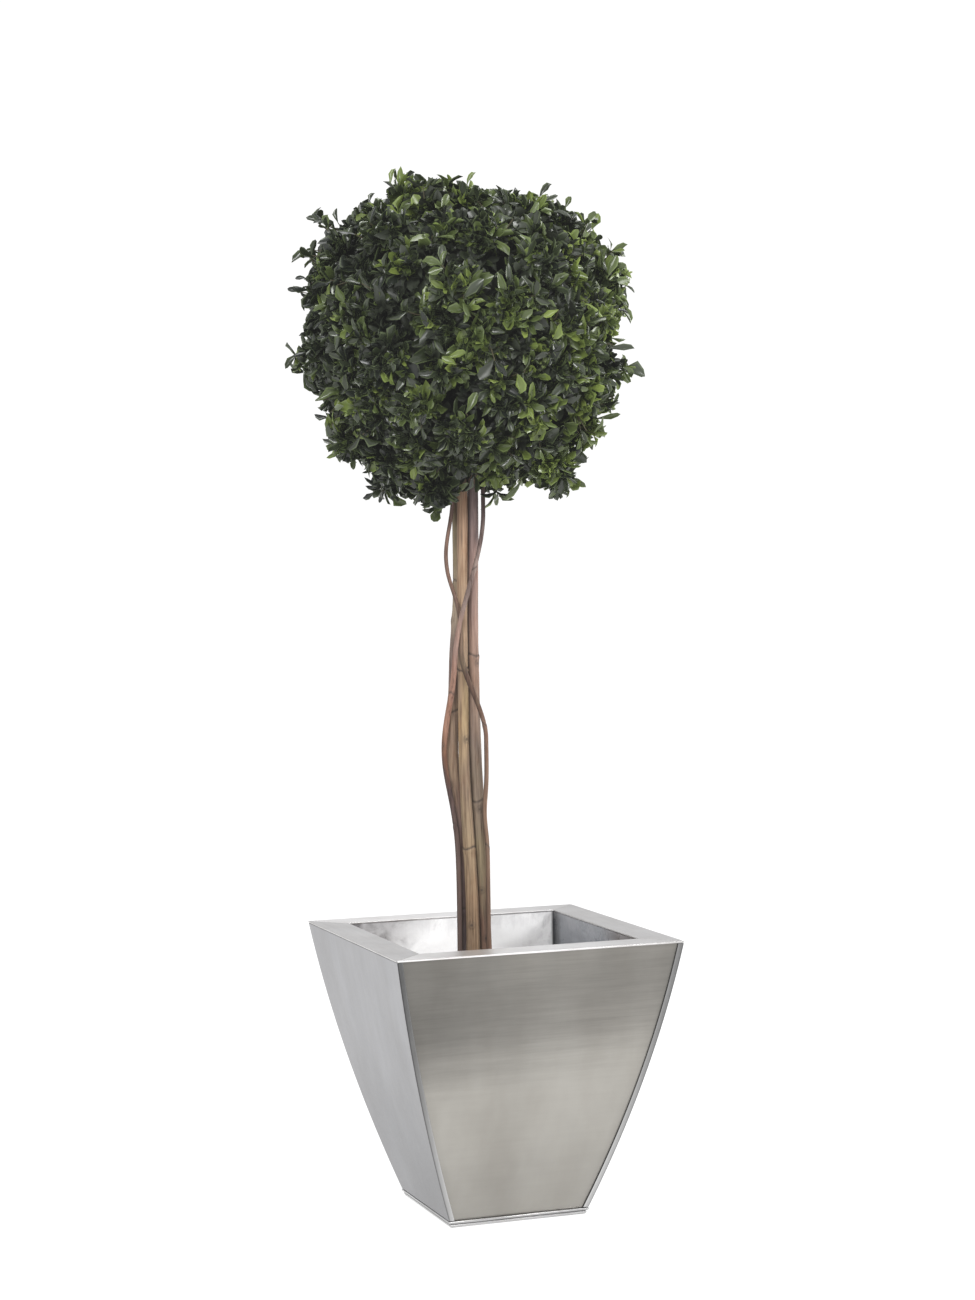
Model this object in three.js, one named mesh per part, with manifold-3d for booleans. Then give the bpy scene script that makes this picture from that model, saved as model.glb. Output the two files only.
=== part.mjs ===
// A lollipop topiary: a clipped ball of small oval leaves on a bundle of slim stems, with two thinner stems
// wound round them, standing in a square tapered pot of brushed sheet steel.
// Millimetres, +Z up. The origin is the middle of the pot's underside, and the pot's front faces -Y.

import * as THREE from 'three';
import { mergeVertices } from 'three/addons/utils/BufferGeometryUtils.js';
import Module from 'manifold-3d';

const wasm = await Module();
wasm.setup();

// ---------------------------------------------------------------- driving dimensions

const CLEAR = 0.3; // gap between pieces that touch

const POT_TOP = 350; // outer width across the rim
const POT_FOOT = 168; // outer width across the foot
const POT_HEIGHT = 330;
const PANEL_BULGE = 67; // how much the panels' curve adds to the width, as the factor of share * (1 - share)
const SHEET = 2; // thickness of the panels, rim and folds
const FOLD = 7; // width of the side panels' folded edges, which frame the front and back panels
const BASE_LIP = 8; // height of the base tray's upstand
const BASE_SHEET = 3;
const RIM_WIDTH = 40; // the flat rim, from its outer edge to the opening
const LINER_SHEET = 1.5;
const LINER_FLOOR = 186; // height of the liner's underside
const FILL_TOP = 270; // height of the soil, which is the ground that the stems rise from
const FILL_MOUND = 5; // how far the soil's surface rises and dips away from the stems
const FILL_LEVEL = 55; // distance from the stems over which it is level
const FILL_ROLLING = 120; // and from which it rises and dips in full
const FILL_CELLS = 6;
const PANEL_STEPS = 12;

const PLANT_X = -19; // the stems stand a little off the pot's middle
const PLANT_Y = 7;
const PLANT_TURN = THREE.MathUtils.degToRad(-20); // the bundle's broad side is turned to the pot's front
const STEM_TOP = 862; // where the stems enter the crown
const STEM_SIDES = 8;
const STEM_STEP = 24;
const ROOT_FLARE = 0.1; // share by which a stem widens at the ground
const FLARE_HEIGHT = 40;

const CROWN_X = -3; // the crown's middle, from the bundle's axis
const CROWN_Z = 1032;
const CROWN_REACH = 205; // the crown's mean radius at its leaves' tips
const CORE_DEPTH = 39; // how far the core's surface lies under the leaves' tips
const CORE_DETAIL = 2;
const HEEL_RADIUS = 25; // the crown's own short stem, which stands on the bundle

const TWIGS = 112;
const TWIG_SUNK = 14; // how deep a twig's foot stands in the core
const TWIG_FOOT = 2.6; // radius of a twig at its foot
const TWIG_TIP = 2; // and at its tip
const SPRAY_DEPTH = 28; // how far a twig's tip lies under the leaves' tips
const SPRAY_UNEVEN = 14; // how much that depth varies
const TWIG_SWAY = 0.12; // how far a twig strays from its even place, as a share of the radius
const LEAVES_PER_TWIG = 5;
const LEAF_LENGTH = 38;
const LEAF_WIDTH = 24;
const LEAF_THICKNESS = 1.2;
const LEAF_WIDEST = 0.58; // where along its length a leaf is widest
const LEAF_RIDGE = 0.5; // and where its faces have their ridge
const LEAF_CUP = 3; // how far its middle lies under its edges
const LEAF_VARIES = 0.3; // share by which leaves differ in size
const LEAF_ROLL = 0.8; // how much they are rolled about their length, in radians
const LEAF_STRAY = 0.3; // how much they stray sideways, as a share of the angle between two of them
const LEAF_ROOM = 0.6; // the room that a leaf keeps to a stem, as a share of its width
const LEAF_LEANS = [1.1, 0.6, 0.95, 0.45, 0.8]; // from the twig's axis, in radians
const LEAN_VARIES = 0.3;
const LEAN_STEP = 0.15; // a leaf that would stand out of the ball leans further, up to the most
const LEAN_MOST = 1.5;
const LEAF_PROUD = 4; // how far a leaf's tip may stand out of the ball's outline
const CROWN_SEED = 11;

// Where the clipped ball swells or dips: the direction as the angle above +X in the plane of the bundle's
// broad side, and turned out of that plane, with the change of radius and the lobe's spread in degrees.
const CROWN_LOBES = [
  { up: 145, round: 0, by: 17, spread: 20 },
  { up: 108, round: 0, by: 8, spread: 10 },
  { up: 82, round: 0, by: -15, spread: 12 },
  { up: 35, round: 0, by: 8, spread: 20 },
  { up: 0, round: 0, by: -15, spread: 11 },
  { up: -28, round: 0, by: -12, spread: 14 },
  { up: -55, round: 0, by: 6, spread: 10 },
  { up: -160, round: 0, by: -11, spread: 12 },
  { up: -118, round: 0, by: 6, spread: 14 },
  { up: 20, round: 90, by: 7, spread: 24 },
  { up: -25, round: 75, by: -8, spread: 18 },
  { up: 30, round: -80, by: 8, spread: 24 },
  { up: -20, round: -100, by: -7, spread: 20 },
];

const COLOURS = {
  panel: 0x9d9c98,
  side: 0xa9abb0,
  rim: 0xb4b5b7,
  liner: 0xc4c4c8,
  soil: 0x2b211a,
  tan: 0xa98f6d,
  brown: 0x8a6f60,
  mauve: 0x8f7a73,
  dark: 0x5a443c,
  leaf: 0x2c4a1e,
};

// ---------------------------------------------------------------- small helpers

// A seeded source of numbers from 0 to 1 (mulberry32).
function seeded(seed) {
  let state = seed >>> 0;
  return () => {
    state = (state + 0x6d2b79f5) >>> 0;
    let t = state;
    t = Math.imul(t ^ (t >>> 15), t | 1);
    t ^= t + Math.imul(t ^ (t >>> 7), t | 61);
    return ((t ^ (t >>> 14)) >>> 0) / 4294967296;
  };
}

const smooth = (z, from, to) => THREE.MathUtils.smoothstep(z, from, to);
const bump = (z, at, spread) => Math.exp(-(((z - at) / spread) ** 2));

// The closed surface through a row of rings with equal counts, capped on the first and the last one.
// Rings run counter-clockwise seen from above where the row rises.
function loft(rings) {
  const count = rings[0].length;
  const positions = rings.flat().flatMap((point) => point.toArray());
  const faces = [];
  for (let row = 0; row + 1 < rings.length; row++) {
    for (let i = 0; i < count; i++) {
      const a = row * count + i;
      const b = row * count + ((i + 1) % count);
      faces.push(a, b, b + count, a, b + count, a + count);
    }
  }
  const cap = (ring) => THREE.ShapeUtils.triangulateShape(ring.map((p) => new THREE.Vector2(p.x, p.y)), []);
  const last = (rings.length - 1) * count;
  for (const [a, b, c] of cap(rings[0])) faces.push(a, c, b);
  for (const [a, b, c] of cap(rings.at(-1))) faces.push(last + a, last + b, last + c);
  const geometry = new THREE.BufferGeometry();
  geometry.setAttribute('position', new THREE.Float32BufferAttribute(positions, 3));
  geometry.setIndex(faces);
  return geometry;
}

const ringAt = (z, outline) => outline.map(([x, y]) => new THREE.Vector3(x, y, z));
const circle = (radius, sides, turn = 0, x = 0, y = 0) => Array.from({ length: sides }, (_, i) => {
  const angle = turn + (i * 2 * Math.PI) / sides;
  return [x + radius * Math.cos(angle), y + radius * Math.sin(angle)];
});
const square = (z, half) => ringAt(z, [[-half, -half], [half, -half], [half, half], [-half, half]]);

function solidOf(geometry) {
  const bare = geometry.clone();
  bare.deleteAttribute('normal');
  bare.deleteAttribute('uv');
  const merged = mergeVertices(bare, 1e-3);
  return new wasm.Manifold(new wasm.Mesh({
    numProp: 3,
    vertProperties: new Float32Array(merged.attributes.position.array),
    triVerts: new Uint32Array(merged.index.array),
  }));
}

function geometryOf(solid) {
  const mesh = solid.getMesh();
  const geometry = new THREE.BufferGeometry();
  geometry.setAttribute('position', new THREE.Float32BufferAttribute(mesh.vertProperties, 3));
  geometry.setIndex(new THREE.Uint32BufferAttribute(mesh.triVerts, 1));
  return geometry;
}

// Joins solids two by two, so that no join is between one huge and one tiny mesh.
function joined(solids) {
  let row = solids;
  while (row.length > 1) {
    const next = [];
    for (let i = 0; i < row.length; i += 2) {
      next.push(i + 1 < row.length ? row[i].add(row[i + 1]) : row[i]);
    }
    row = next;
  }
  return row[0];
}

function material(colour, roughness, metalness) {
  return new THREE.MeshStandardMaterial({ color: colour, roughness, metalness });
}

function piece(name, geometry, look) {
  const mesh = new THREE.Mesh(geometry, look);
  mesh.name = name;
  return mesh;
}

// ---------------------------------------------------------------- pot

// Half of the pot's outer width at a height: a straight taper plus a gentle outward curve.
function potHalf(z) {
  const share = z / POT_HEIGHT;
  return (POT_FOOT + (POT_TOP - POT_FOOT) * share + PANEL_BULGE * share * (1 - share)) / 2;
}

function panelLevels() {
  const bottom = BASE_LIP + CLEAR;
  const top = POT_HEIGHT - SHEET - CLEAR;
  return Array.from({ length: PANEL_STEPS + 1 }, (_, i) => bottom + ((top - bottom) * i) / PANEL_STEPS);
}

// A curved side sheet with its front and back edges folded in, seen from above as a flat C.
function sidePanel() {
  return loft(panelLevels().map((z) => {
    const out = potHalf(z);
    const inner = out - SHEET;
    const fold = out - FOLD;
    return ringAt(z, [
      [out, -out], [out, out], [fold, out], [fold, inner],
      [inner, inner], [inner, -inner], [fold, -inner], [fold, -out],
    ]);
  }));
}

// A curved sheet that lies behind the folds of the side panels.
function facePanel() {
  return loft(panelLevels().map((z) => {
    const half = potHalf(z) - SHEET - CLEAR;
    return ringAt(z, [[-half, -half], [half, -half], [half, -half + SHEET], [-half, -half + SHEET]]);
  }));
}

// One mitred side of the flat rim.
function rimStrip() {
  const out = POT_TOP / 2;
  const inner = out - RIM_WIDTH;
  const outline = new THREE.Shape([
    new THREE.Vector2(-out + CLEAR, -out),
    new THREE.Vector2(out - CLEAR, -out),
    new THREE.Vector2(inner - CLEAR, -inner),
    new THREE.Vector2(-inner + CLEAR, -inner),
  ]);
  const geometry = new THREE.ExtrudeGeometry(outline, { depth: SHEET, bevelEnabled: false });
  return geometry.translate(0, 0, POT_HEIGHT - SHEET);
}

// A square tray: up its outside, over its edge and down to its floor.
function tray(bottom, top, halfBelow, halfAbove, wall) {
  return loft([
    square(bottom, halfBelow),
    square(top, halfAbove),
    square(top, halfAbove - wall),
    square(bottom + wall, halfBelow - wall),
  ]);
}

// Soil that lies level round the stems and rolls gently towards the liner's walls.
function soil() {
  const half = POT_TOP / 2 - RIM_WIDTH - CLEAR;
  const bottom = LINER_FLOOR + LINER_SHEET + CLEAR;
  const geometry = new THREE.BoxGeometry(2 * half, 2 * half, FILL_TOP - bottom, FILL_CELLS, FILL_CELLS, 1);
  geometry.translate(0, 0, (FILL_TOP + bottom) / 2);
  const place = geometry.attributes.position;
  for (let i = 0; i < place.count; i++) {
    if (place.getZ(i) < FILL_TOP - 1) continue;
    const x = place.getX(i);
    const y = place.getY(i);
    const away = smooth(Math.hypot(x - PLANT_X, y - PLANT_Y), FILL_LEVEL, FILL_ROLLING);
    const roll = Math.sin(x / 31 + 1) * Math.cos(y / 27 - 0.6);
    place.setZ(i, FILL_TOP + FILL_MOUND * away * roll);
  }
  return geometry;
}

function pot() {
  const group = new THREE.Group();
  const sideLook = material(COLOURS.side, 0.36, 1);
  const faceLook = material(COLOURS.panel, 0.34, 1);
  const rimLook = material(COLOURS.rim, 0.38, 1);
  const half = Math.PI / 2;

  const sides = [['pot_right_panel', 0], ['pot_left_panel', 2]];
  for (const [name, turns] of sides) {
    const panel = piece(name, sidePanel(), sideLook);
    panel.rotation.z = turns * half;
    group.add(panel);
  }
  const faces = [['pot_front_panel', 0], ['pot_back_panel', 2]];
  for (const [name, turns] of faces) {
    const panel = piece(name, facePanel(), faceLook);
    panel.rotation.z = turns * half;
    group.add(panel);
  }
  ['front', 'right', 'back', 'left'].forEach((side, turns) => {
    const strip = piece(`pot_rim_${side}`, rimStrip(), rimLook);
    strip.rotation.z = turns * half;
    group.add(strip);
  });
  const base = tray(0, BASE_LIP, potHalf(0), potHalf(BASE_LIP), BASE_SHEET);
  group.add(piece('pot_base_tray', base, sideLook));

  const linerHalf = POT_TOP / 2 - RIM_WIDTH + LINER_SHEET;
  const liner = tray(LINER_FLOOR, POT_HEIGHT - SHEET - CLEAR, linerHalf, linerHalf, LINER_SHEET);
  group.add(piece('pot_liner', liner, material(COLOURS.liner, 0.3, 1)));
  group.add(piece('pot_soil', soil(), material(COLOURS.soil, 0.95, 0)));
  return group;
}

// ---------------------------------------------------------------- stems

// Each stem by its centre line and radius at a height, from the bundle's axis: x along the broad side and y
// through it, towards the back. Three stout stems stand side by side. Two thin ones bow out of the bundle at
// mid-height, cross over in front of it and bow out again under the crown, the left one passing over.
const STEMS = [
  {
    name: 'stem_left',
    look: material(COLOURS.brown, 0.8, 0),
    x: (z) => -12.8 - 9.4 * bump(z, 545, 60) - 4.5 * bump(z, 635, 60),
    y: () => 9,
    radius: (z) => 5.2 + 0.4 * (1 - smooth(z, 300, 560)),
  },
  {
    name: 'stem_centre',
    look: material(COLOURS.tan, 0.75, 0),
    x: (z) => -8 + 2 * smooth(z, 700, 830) + 8 * (1 - smooth(z, 330, 560)),
    y: () => -2,
    radius: (z) => 6.1 + 1.6 * (1 - smooth(z, 300, 600)),
  },
  {
    name: 'stem_right',
    look: material(COLOURS.mauve, 0.8, 0),
    x: (z) => 4.8 + 1.8 * smooth(z, 700, 830) + 10.4 * (1 - smooth(z, 280, 600)),
    y: (z) => 1.5 + 3.5 * (1 - smooth(z, 270, 480)),
    radius: (z) => 5.9 + 0.5 * (1 - smooth(z, 300, 600)),
  },
  {
    name: 'winding_stem_left',
    look: material(COLOURS.dark, 0.8, 0),
    x: (z) => -15.8 - 15.6 * bump(z, 545, 72) + 34.5 * smooth(z, 655, 830),
    y: (z) => -2.5 - 15.4 * smooth(z, 560, 655) + 14 * smooth(z, 705, 850),
    radius: (z) => 3 - 0.6 * smooth(z, 600, 800),
  },
  {
    name: 'winding_stem_right',
    look: material(COLOURS.brown, 0.8, 0),
    x: (z) => 18.6 - 3 * bump(z, 472, 28) - 28.8 * smooth(z, 560, 670)
      - 6 * smooth(z, 700, 760) - 10 * bump(z, 778, 45),
    y: (z) => -6.5 - 5.1 * smooth(z, 530, 600) + 9.5 * smooth(z, 705, 800),
    radius: (z) => 2.5 - 0.3 * smooth(z, 600, 800),
  },
];

function stemAt(stem, z) {
  return {
    x: stem.x(z),
    y: stem.y(z),
    radius: stem.radius(z) * (1 + ROOT_FLARE * bump(z, FILL_TOP, FLARE_HEIGHT)),
  };
}

function stemGeometry(stem, index) {
  const random = seeded(100 + index);
  const turn = random() * Math.PI;
  const bottom = FILL_TOP + CLEAR;
  const steps = Math.round((STEM_TOP - bottom) / STEM_STEP);
  const rings = [];
  for (let i = 0; i <= steps; i++) {
    const z = bottom + ((STEM_TOP - bottom) * i) / steps;
    const { x, y, radius } = stemAt(stem, z);
    rings.push(ringAt(z, circle(radius, STEM_SIDES, turn, x, y)));
  }
  return loft(rings);
}

// ---------------------------------------------------------------- crown

const crownMiddle = new THREE.Vector3(CROWN_X, 0, CROWN_Z);

const lobes = CROWN_LOBES.map((lobe) => {
  const up = THREE.MathUtils.degToRad(lobe.up);
  const round = THREE.MathUtils.degToRad(lobe.round);
  const towards = new THREE.Vector3(Math.cos(up), 0, Math.sin(up));
  towards.applyAxisAngle(new THREE.Vector3(0, 0, 1), round);
  return { towards, by: lobe.by, spread: THREE.MathUtils.degToRad(lobe.spread) };
});

// The crown's radius in a direction.
function reach(direction) {
  return lobes.reduce(
    (radius, lobe) => radius + lobe.by * bump(direction.angleTo(lobe.towards), 0, lobe.spread),
    CROWN_REACH,
  );
}

// Directions spread evenly over the ball, from its top to its underside.
function spreadDirections(count) {
  const golden = Math.PI * (3 - Math.sqrt(5));
  return Array.from({ length: count }, (_, i) => {
    const z = 1 - (2 * i + 1) / count;
    const ring = Math.sqrt(1 - z * z);
    return new THREE.Vector3(ring * Math.cos(golden * i), ring * Math.sin(golden * i), z);
  });
}

// The triangles from each side of a closed outline to a point.
function fan(outline, point) {
  return outline.map((corner, i) => [corner, outline[(i + 1) % outline.length], point]);
}

// True if a straight line from a root to a tip keeps a distance from every stem.
function clearOfStems(root, tip, distance) {
  return [0, 0.35, 0.7, 1].every((share) => {
    const point = root.clone().lerp(tip, share);
    if (point.z > STEM_TOP + distance) return true;
    return STEMS.every((stem) => {
      const { x, y, radius } = stemAt(stem, point.z);
      return Math.hypot(point.x - x, point.y - y) > radius + distance;
    });
  });
}

function insideOutline(point) {
  const out = point.clone().sub(crownMiddle);
  return out.length() < reach(out.clone().normalize()) + LEAF_PROUD;
}

// The corners of a leaf: a thin cupped kite with a ridge along each face. It leans from its twig's axis to
// one side of it, and is rolled a little about its own length.
function leafCorners(root, axis, out, lean, roll, length, width) {
  const heading = axis.clone().multiplyScalar(Math.cos(lean)).addScaledVector(out, Math.sin(lean));
  const facing = axis.clone().applyAxisAngle(heading, roll);
  const across = new THREE.Vector3().crossVectors(heading, facing).normalize();
  const up = new THREE.Vector3().crossVectors(across, heading).normalize();
  const at = (along, side, height) => root.clone()
    .addScaledVector(heading, along * length)
    .addScaledVector(across, side * width)
    .addScaledVector(up, height);
  return {
    left: at(LEAF_WIDEST, -0.5, LEAF_CUP / 2),
    tip: at(1, 0, 0),
    right: at(LEAF_WIDEST, 0.5, LEAF_CUP / 2),
    above: at(LEAF_RIDGE, 0, (LEAF_THICKNESS - LEAF_CUP) / 2),
    below: at(LEAF_RIDGE, 0, (-LEAF_THICKNESS - LEAF_CUP) / 2),
  };
}

// A spray as one closed mesh: a slim twig with a side for each leaf, whose leaves spread round its tip. They
// are rooted in the twig's end, side by side. A leaf that doesn't fit is left out.
function sprayGeometry(foot, hub, random) {
  const axis = hub.clone().sub(foot).normalize();
  const side = new THREE.Vector3(-axis.y, axis.x, 0.01).normalize();
  const step = (2 * Math.PI) / LEAVES_PER_TWIG;
  const start = random() * step;
  const outwards = (turn) => side.clone().applyAxisAngle(axis, start + turn * step);

  const points = [];
  const faces = [];
  const add = (point) => points.push(point) - 1;
  const ring = (centre, radius) => Array.from({ length: LEAVES_PER_TWIG }, (_, i) => (
    add(centre.clone().addScaledVector(outwards(i), radius))
  ));
  const low = ring(foot, TWIG_FOOT);
  const high = ring(hub, TWIG_TIP);
  const crest = add(hub.clone().addScaledVector(axis, LEAF_THICKNESS));

  for (let i = 0; i < LEAVES_PER_TWIG; i++) {
    const next = (i + 1) % LEAVES_PER_TWIG;
    faces.push([low[i], low[next], high[next]], [low[i], high[next], high[i]]);
    if (i > 1) faces.push([low[0], low[i], low[i - 1]]);

    const out = outwards(i + 0.5 + (random() - 0.5) * LEAF_STRAY);
    const length = LEAF_LENGTH * (1 + (random() - 0.5) * LEAF_VARIES);
    const width = LEAF_WIDTH * (1 + (random() - 0.5) * LEAF_VARIES);
    const roll = (random() - 0.5) * LEAF_ROLL;
    let lean = LEAF_LEANS[i % LEAF_LEANS.length] + (random() - 0.5) * LEAN_VARIES;
    let leaf = leafCorners(hub, axis, out, lean, roll, length, width);
    while (!insideOutline(leaf.tip) && lean < LEAN_MOST) {
      lean += LEAN_STEP;
      leaf = leafCorners(hub, axis, out, lean, roll, length, width);
    }
    if (!insideOutline(leaf.tip) || !clearOfStems(hub, leaf.tip, LEAF_WIDTH * LEAF_ROOM)) {
      faces.push([high[i], high[next], crest]);
      continue;
    }
    const [left, tip, right, above, below] = ['left', 'tip', 'right', 'above', 'below']
      .map((corner) => add(leaf[corner]));
    const edge = [high[next], left, tip, right, high[i]];
    faces.push(...fan([crest, ...edge].reverse(), above), ...fan(edge, below));
  }
  const geometry = new THREE.BufferGeometry();
  geometry.setAttribute('position', new THREE.Float32BufferAttribute(points.flatMap((p) => p.toArray()), 3));
  geometry.setIndex(faces.flat());
  return geometry;
}

// The core: a faceted ball that follows the crown's outline from within.
function coreGeometry() {
  const geometry = new THREE.IcosahedronGeometry(1, CORE_DETAIL);
  const place = geometry.attributes.position;
  for (let i = 0; i < place.count; i++) {
    const direction = new THREE.Vector3().fromBufferAttribute(place, i).normalize();
    const point = direction.clone().multiplyScalar(reach(direction) - CORE_DEPTH).add(crownMiddle);
    place.setXYZ(i, ...point);
  }
  return geometry;
}

function crownGeometry() {
  const random = seeded(CROWN_SEED);
  const heel = loft([
    ringAt(STEM_TOP + CLEAR, circle(HEEL_RADIUS, STEM_SIDES, 0, CROWN_X)),
    ringAt(CROWN_Z - CROWN_REACH + CORE_DEPTH + TWIG_SUNK, circle(HEEL_RADIUS, STEM_SIDES, 0, CROWN_X)),
  ]);
  const solids = [solidOf(coreGeometry()), solidOf(heel)];
  for (const even of spreadDirections(TWIGS)) {
    const sway = new THREE.Vector3(random() - 0.5, random() - 0.5, random() - 0.5).multiplyScalar(TWIG_SWAY);
    const towards = even.clone().add(sway).normalize();
    const depth = SPRAY_DEPTH + (random() - 0.5) * SPRAY_UNEVEN;
    const foot = crownMiddle.clone().addScaledVector(even, reach(even) - CORE_DEPTH - TWIG_SUNK);
    const hub = crownMiddle.clone().addScaledVector(towards, reach(towards) - depth);
    const spray = sprayGeometry(foot, hub, random);
    if (clearOfStems(foot, hub, 2 * TWIG_FOOT)) solids.push(solidOf(spray));
  }
  return geometryOf(joined(solids));
}

function plant() {
  const group = new THREE.Group();
  group.position.set(PLANT_X, PLANT_Y, 0);
  group.rotation.z = PLANT_TURN;
  STEMS.forEach((stem, index) => {
    group.add(piece(stem.name, stemGeometry(stem, index), stem.look));
  });
  group.add(piece('crown_foliage', crownGeometry(), material(COLOURS.leaf, 0.5, 0)));
  return group;
}

const topiary = new THREE.Group();
topiary.add(pot(), plant());

export default topiary;
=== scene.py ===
"""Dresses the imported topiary: barked stems, boughs, twigs and leaves in the ball, and a brushed steel pot.

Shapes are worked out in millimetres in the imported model's frame, and add_piece() turns them into metres.
The plant's rules are the ones that its solids are made by, carried on to finer twigs and to leaves at their
real size.
"""

import math

import bpy
import numpy as np
from mathutils import Matrix, Vector, noise


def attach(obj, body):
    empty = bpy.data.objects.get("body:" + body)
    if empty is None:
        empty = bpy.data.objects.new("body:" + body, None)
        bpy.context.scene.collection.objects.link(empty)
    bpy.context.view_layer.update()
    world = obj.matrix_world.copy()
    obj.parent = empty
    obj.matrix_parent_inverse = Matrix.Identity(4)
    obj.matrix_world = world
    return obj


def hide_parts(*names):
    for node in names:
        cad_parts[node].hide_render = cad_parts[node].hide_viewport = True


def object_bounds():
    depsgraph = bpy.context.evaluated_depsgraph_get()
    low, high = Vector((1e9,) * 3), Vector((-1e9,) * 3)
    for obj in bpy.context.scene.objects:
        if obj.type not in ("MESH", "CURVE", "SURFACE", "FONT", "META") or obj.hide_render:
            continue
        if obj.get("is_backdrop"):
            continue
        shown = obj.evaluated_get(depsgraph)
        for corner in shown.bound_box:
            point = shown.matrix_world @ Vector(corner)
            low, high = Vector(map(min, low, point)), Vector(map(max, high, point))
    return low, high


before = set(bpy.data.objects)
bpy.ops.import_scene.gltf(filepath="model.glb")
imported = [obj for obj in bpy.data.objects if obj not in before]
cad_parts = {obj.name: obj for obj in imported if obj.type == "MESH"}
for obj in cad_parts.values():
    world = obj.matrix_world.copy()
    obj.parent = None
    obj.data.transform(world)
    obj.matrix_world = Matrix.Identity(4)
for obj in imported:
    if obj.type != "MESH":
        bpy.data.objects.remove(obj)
cad_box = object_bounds()

MM = 0.001
CLEAR = 0.3  # gap between pieces that touch
GOLDEN = math.pi * (3 - math.sqrt(5))

# ---------------------------------------------------------------- the solids' driving dimensions

POT_TOP = 350
POT_FOOT = 168
POT_HEIGHT = 330
PANEL_BULGE = 67
SHEET = 2
FOLD = 7
BASE_LIP = 8
RIM_WIDTH = 40
LINER_SHEET = 1.5
LINER_FLOOR = 186
FILL_TOP = 270
FILL_MOUND = 5
FILL_LEVEL = 55
FILL_ROLLING = 120

PLANT_PLACE = Vector((-19, 7, 0))
PLANT_TURN = math.radians(-20)
STEM_TOP = 862
ROOT_FLARE = 0.1
FLARE_HEIGHT = 40

MIDDLE = Vector((-3, 0, 1032))  # of the crown, from the foot of the plant's axis
CROWN_REACH = 205
CORE_DEPTH = 39
TWIGS = 112
TWIG_SUNK = 14
TWIG_FOOT = 2.6
SPRAY_DEPTH = 28
SPRAY_UNEVEN = 14
TWIG_SWAY = 0.12
SPRAY_LEANS = [1.1, 0.6, 0.95, 0.45, 0.8]  # of the shoots of a spray, from its twig's axis, in radians
SPRAY_LENGTH = 38
SPRAY_WIDTH = 24
SPRAY_VARIES = 0.3
SPRAY_STRAY = 0.3
SPRAY_ROOM = 0.6
LEAN_VARIES = 0.3
LEAN_STEP = 0.15
LEAN_MOST = 1.5
LEAF_PROUD = 4  # how far a tip may stand out of the ball's outline
CROWN_SEED = 11

# Where the ball swells or dips: the angle above +X in the plane of the stems' broad side, the turn out of
# that plane, the change of radius, and the lobe's spread in degrees.
CROWN_LOBES = [
    (145, 0, 17, 20),
    (108, 0, 8, 10),
    (82, 0, -15, 12),
    (35, 0, 8, 20),
    (0, 0, -15, 11),
    (-28, 0, -12, 14),
    (-55, 0, 6, 10),
    (-160, 0, -11, 12),
    (-118, 0, 6, 14),
    (20, 90, 7, 24),
    (-25, 75, -8, 18),
    (30, -80, 8, 24),
    (-20, -100, -7, 20),
]

# Tufts that stand out of the clipped outline and notches in it, in the plane of the stems' broad side: the
# angle above +X, the change of radius, and the spread in degrees.
OUTLINE_LEVEL = -16
OUTLINE_DEPTH = 0.36  # how far out of that plane they reach, in shares of the radius
TUFTS = [
    (139, 20, 2),
    (150, 6, 2),
    (-173, 12, 5),
    (-140, 7, 3),
    (-120, 9, 4),
    (-101, 8, 5),
    (-56, 19, 5),
    (-36, 10, 4),
    (-23, 12, 4),
    (-11, 19, 3),
    (12, 6, 7),
    (22, 7, 5),
    (29, 12, 3),
    (43, 8, 4),
    (110, 6, 5),
]
NOTCHES = [
    (155, -16, 3),
    (145, -4, 3),
    (135, -8, 3),
    (170, -12, 3),
    (-157, -7, 4),
    (-131, -6, 3),
    (-108, -8, 3),
    (-67, -12, 4),
    (-43, -8, 2),
    (-17, -12, 2),
    (0, -5, 4),
    (68, -8, 3),
    (85, -8, 4),
    (118, -18, 3),
]
TUFT_TURNS = (-0.14, -0.04, 0.05, 0.15)  # how far a tuft's own shoots stand out of the plane, in shares

# ---------------------------------------------------------------- the finer growth

LEADER_TOP = 1000  # how high the three stout stems' leaders run on inside the ball
LEADER_UNEVEN = 30
LEADER_PARTS = 1.4  # how far they part from the ball's axis, as a share of their distance at its underside
LEADER_STEPS = 8
LEADER_TAPER = 0.06  # from step to step
BOUGHS = 16
BOUGH_SHARE = 0.5  # of the ball's radius, to which the boughs reach
SHOOT_SHARE = 0.48  # of a spray's length, at which a shoot ends
SHOOT_ASIDE = 0.45  # how far the side shoots stand off, as a share of a spray's width
BRANCH_SHOOTS = (0, -1, 1, 0.4)  # the shoots of a branch, by how far aside they stand
TWIG_BOW = 0.06  # as a share of a twig's length
SPRAY_RADII = (2.4, 2.1, 1.9, 1.7, 1.5)  # from a limb's start to its end
BRANCH_RADII = (3, 2.9, 2.7, 2.6, 2.4)
SHOOT_RADII = (1.2, 1, 0.8)
SHOOT_CLEAR = 4  # how far a shoot stays off the stems
INNER_SHOOTS = 700
INNER_DEPTHS = (30, 64)
DEEP_SHOOTS = 330
DEEP_DEPTHS = (62, 105)
SHOOT_ROOM = 7  # how far a shoot's end stays under the clipped outline
HUB_ROOM = 26  # and the point where a twig forks
STRAY_SHOOTS = 150
STRAY_DEPTHS = (-5, 6)
STRAY_PROUD = 6  # how far such a shoot's leaves may stand out before LEAF_STRAY
STRAY_RADII = (1.3, 1.1, 0.9, 0.7)
STRAY_CLEAR = 6  # how far it stays off the stems
STRAY_HANG = -0.5  # how far it turns down, and up where it stands high on the ball
STRAY_RISE = 0.3
STRAY_TONES = ("deep", "dark", "slate", "mid")
TUFT_PROUD = 4  # how far a tuft's shoots stand out at most, and by how much less some of them do
TUFT_UNEVEN = 9
TUFT_LEAVES_PROUD = 5  # how far their leaves may stand out before LEAF_STRAY
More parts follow.
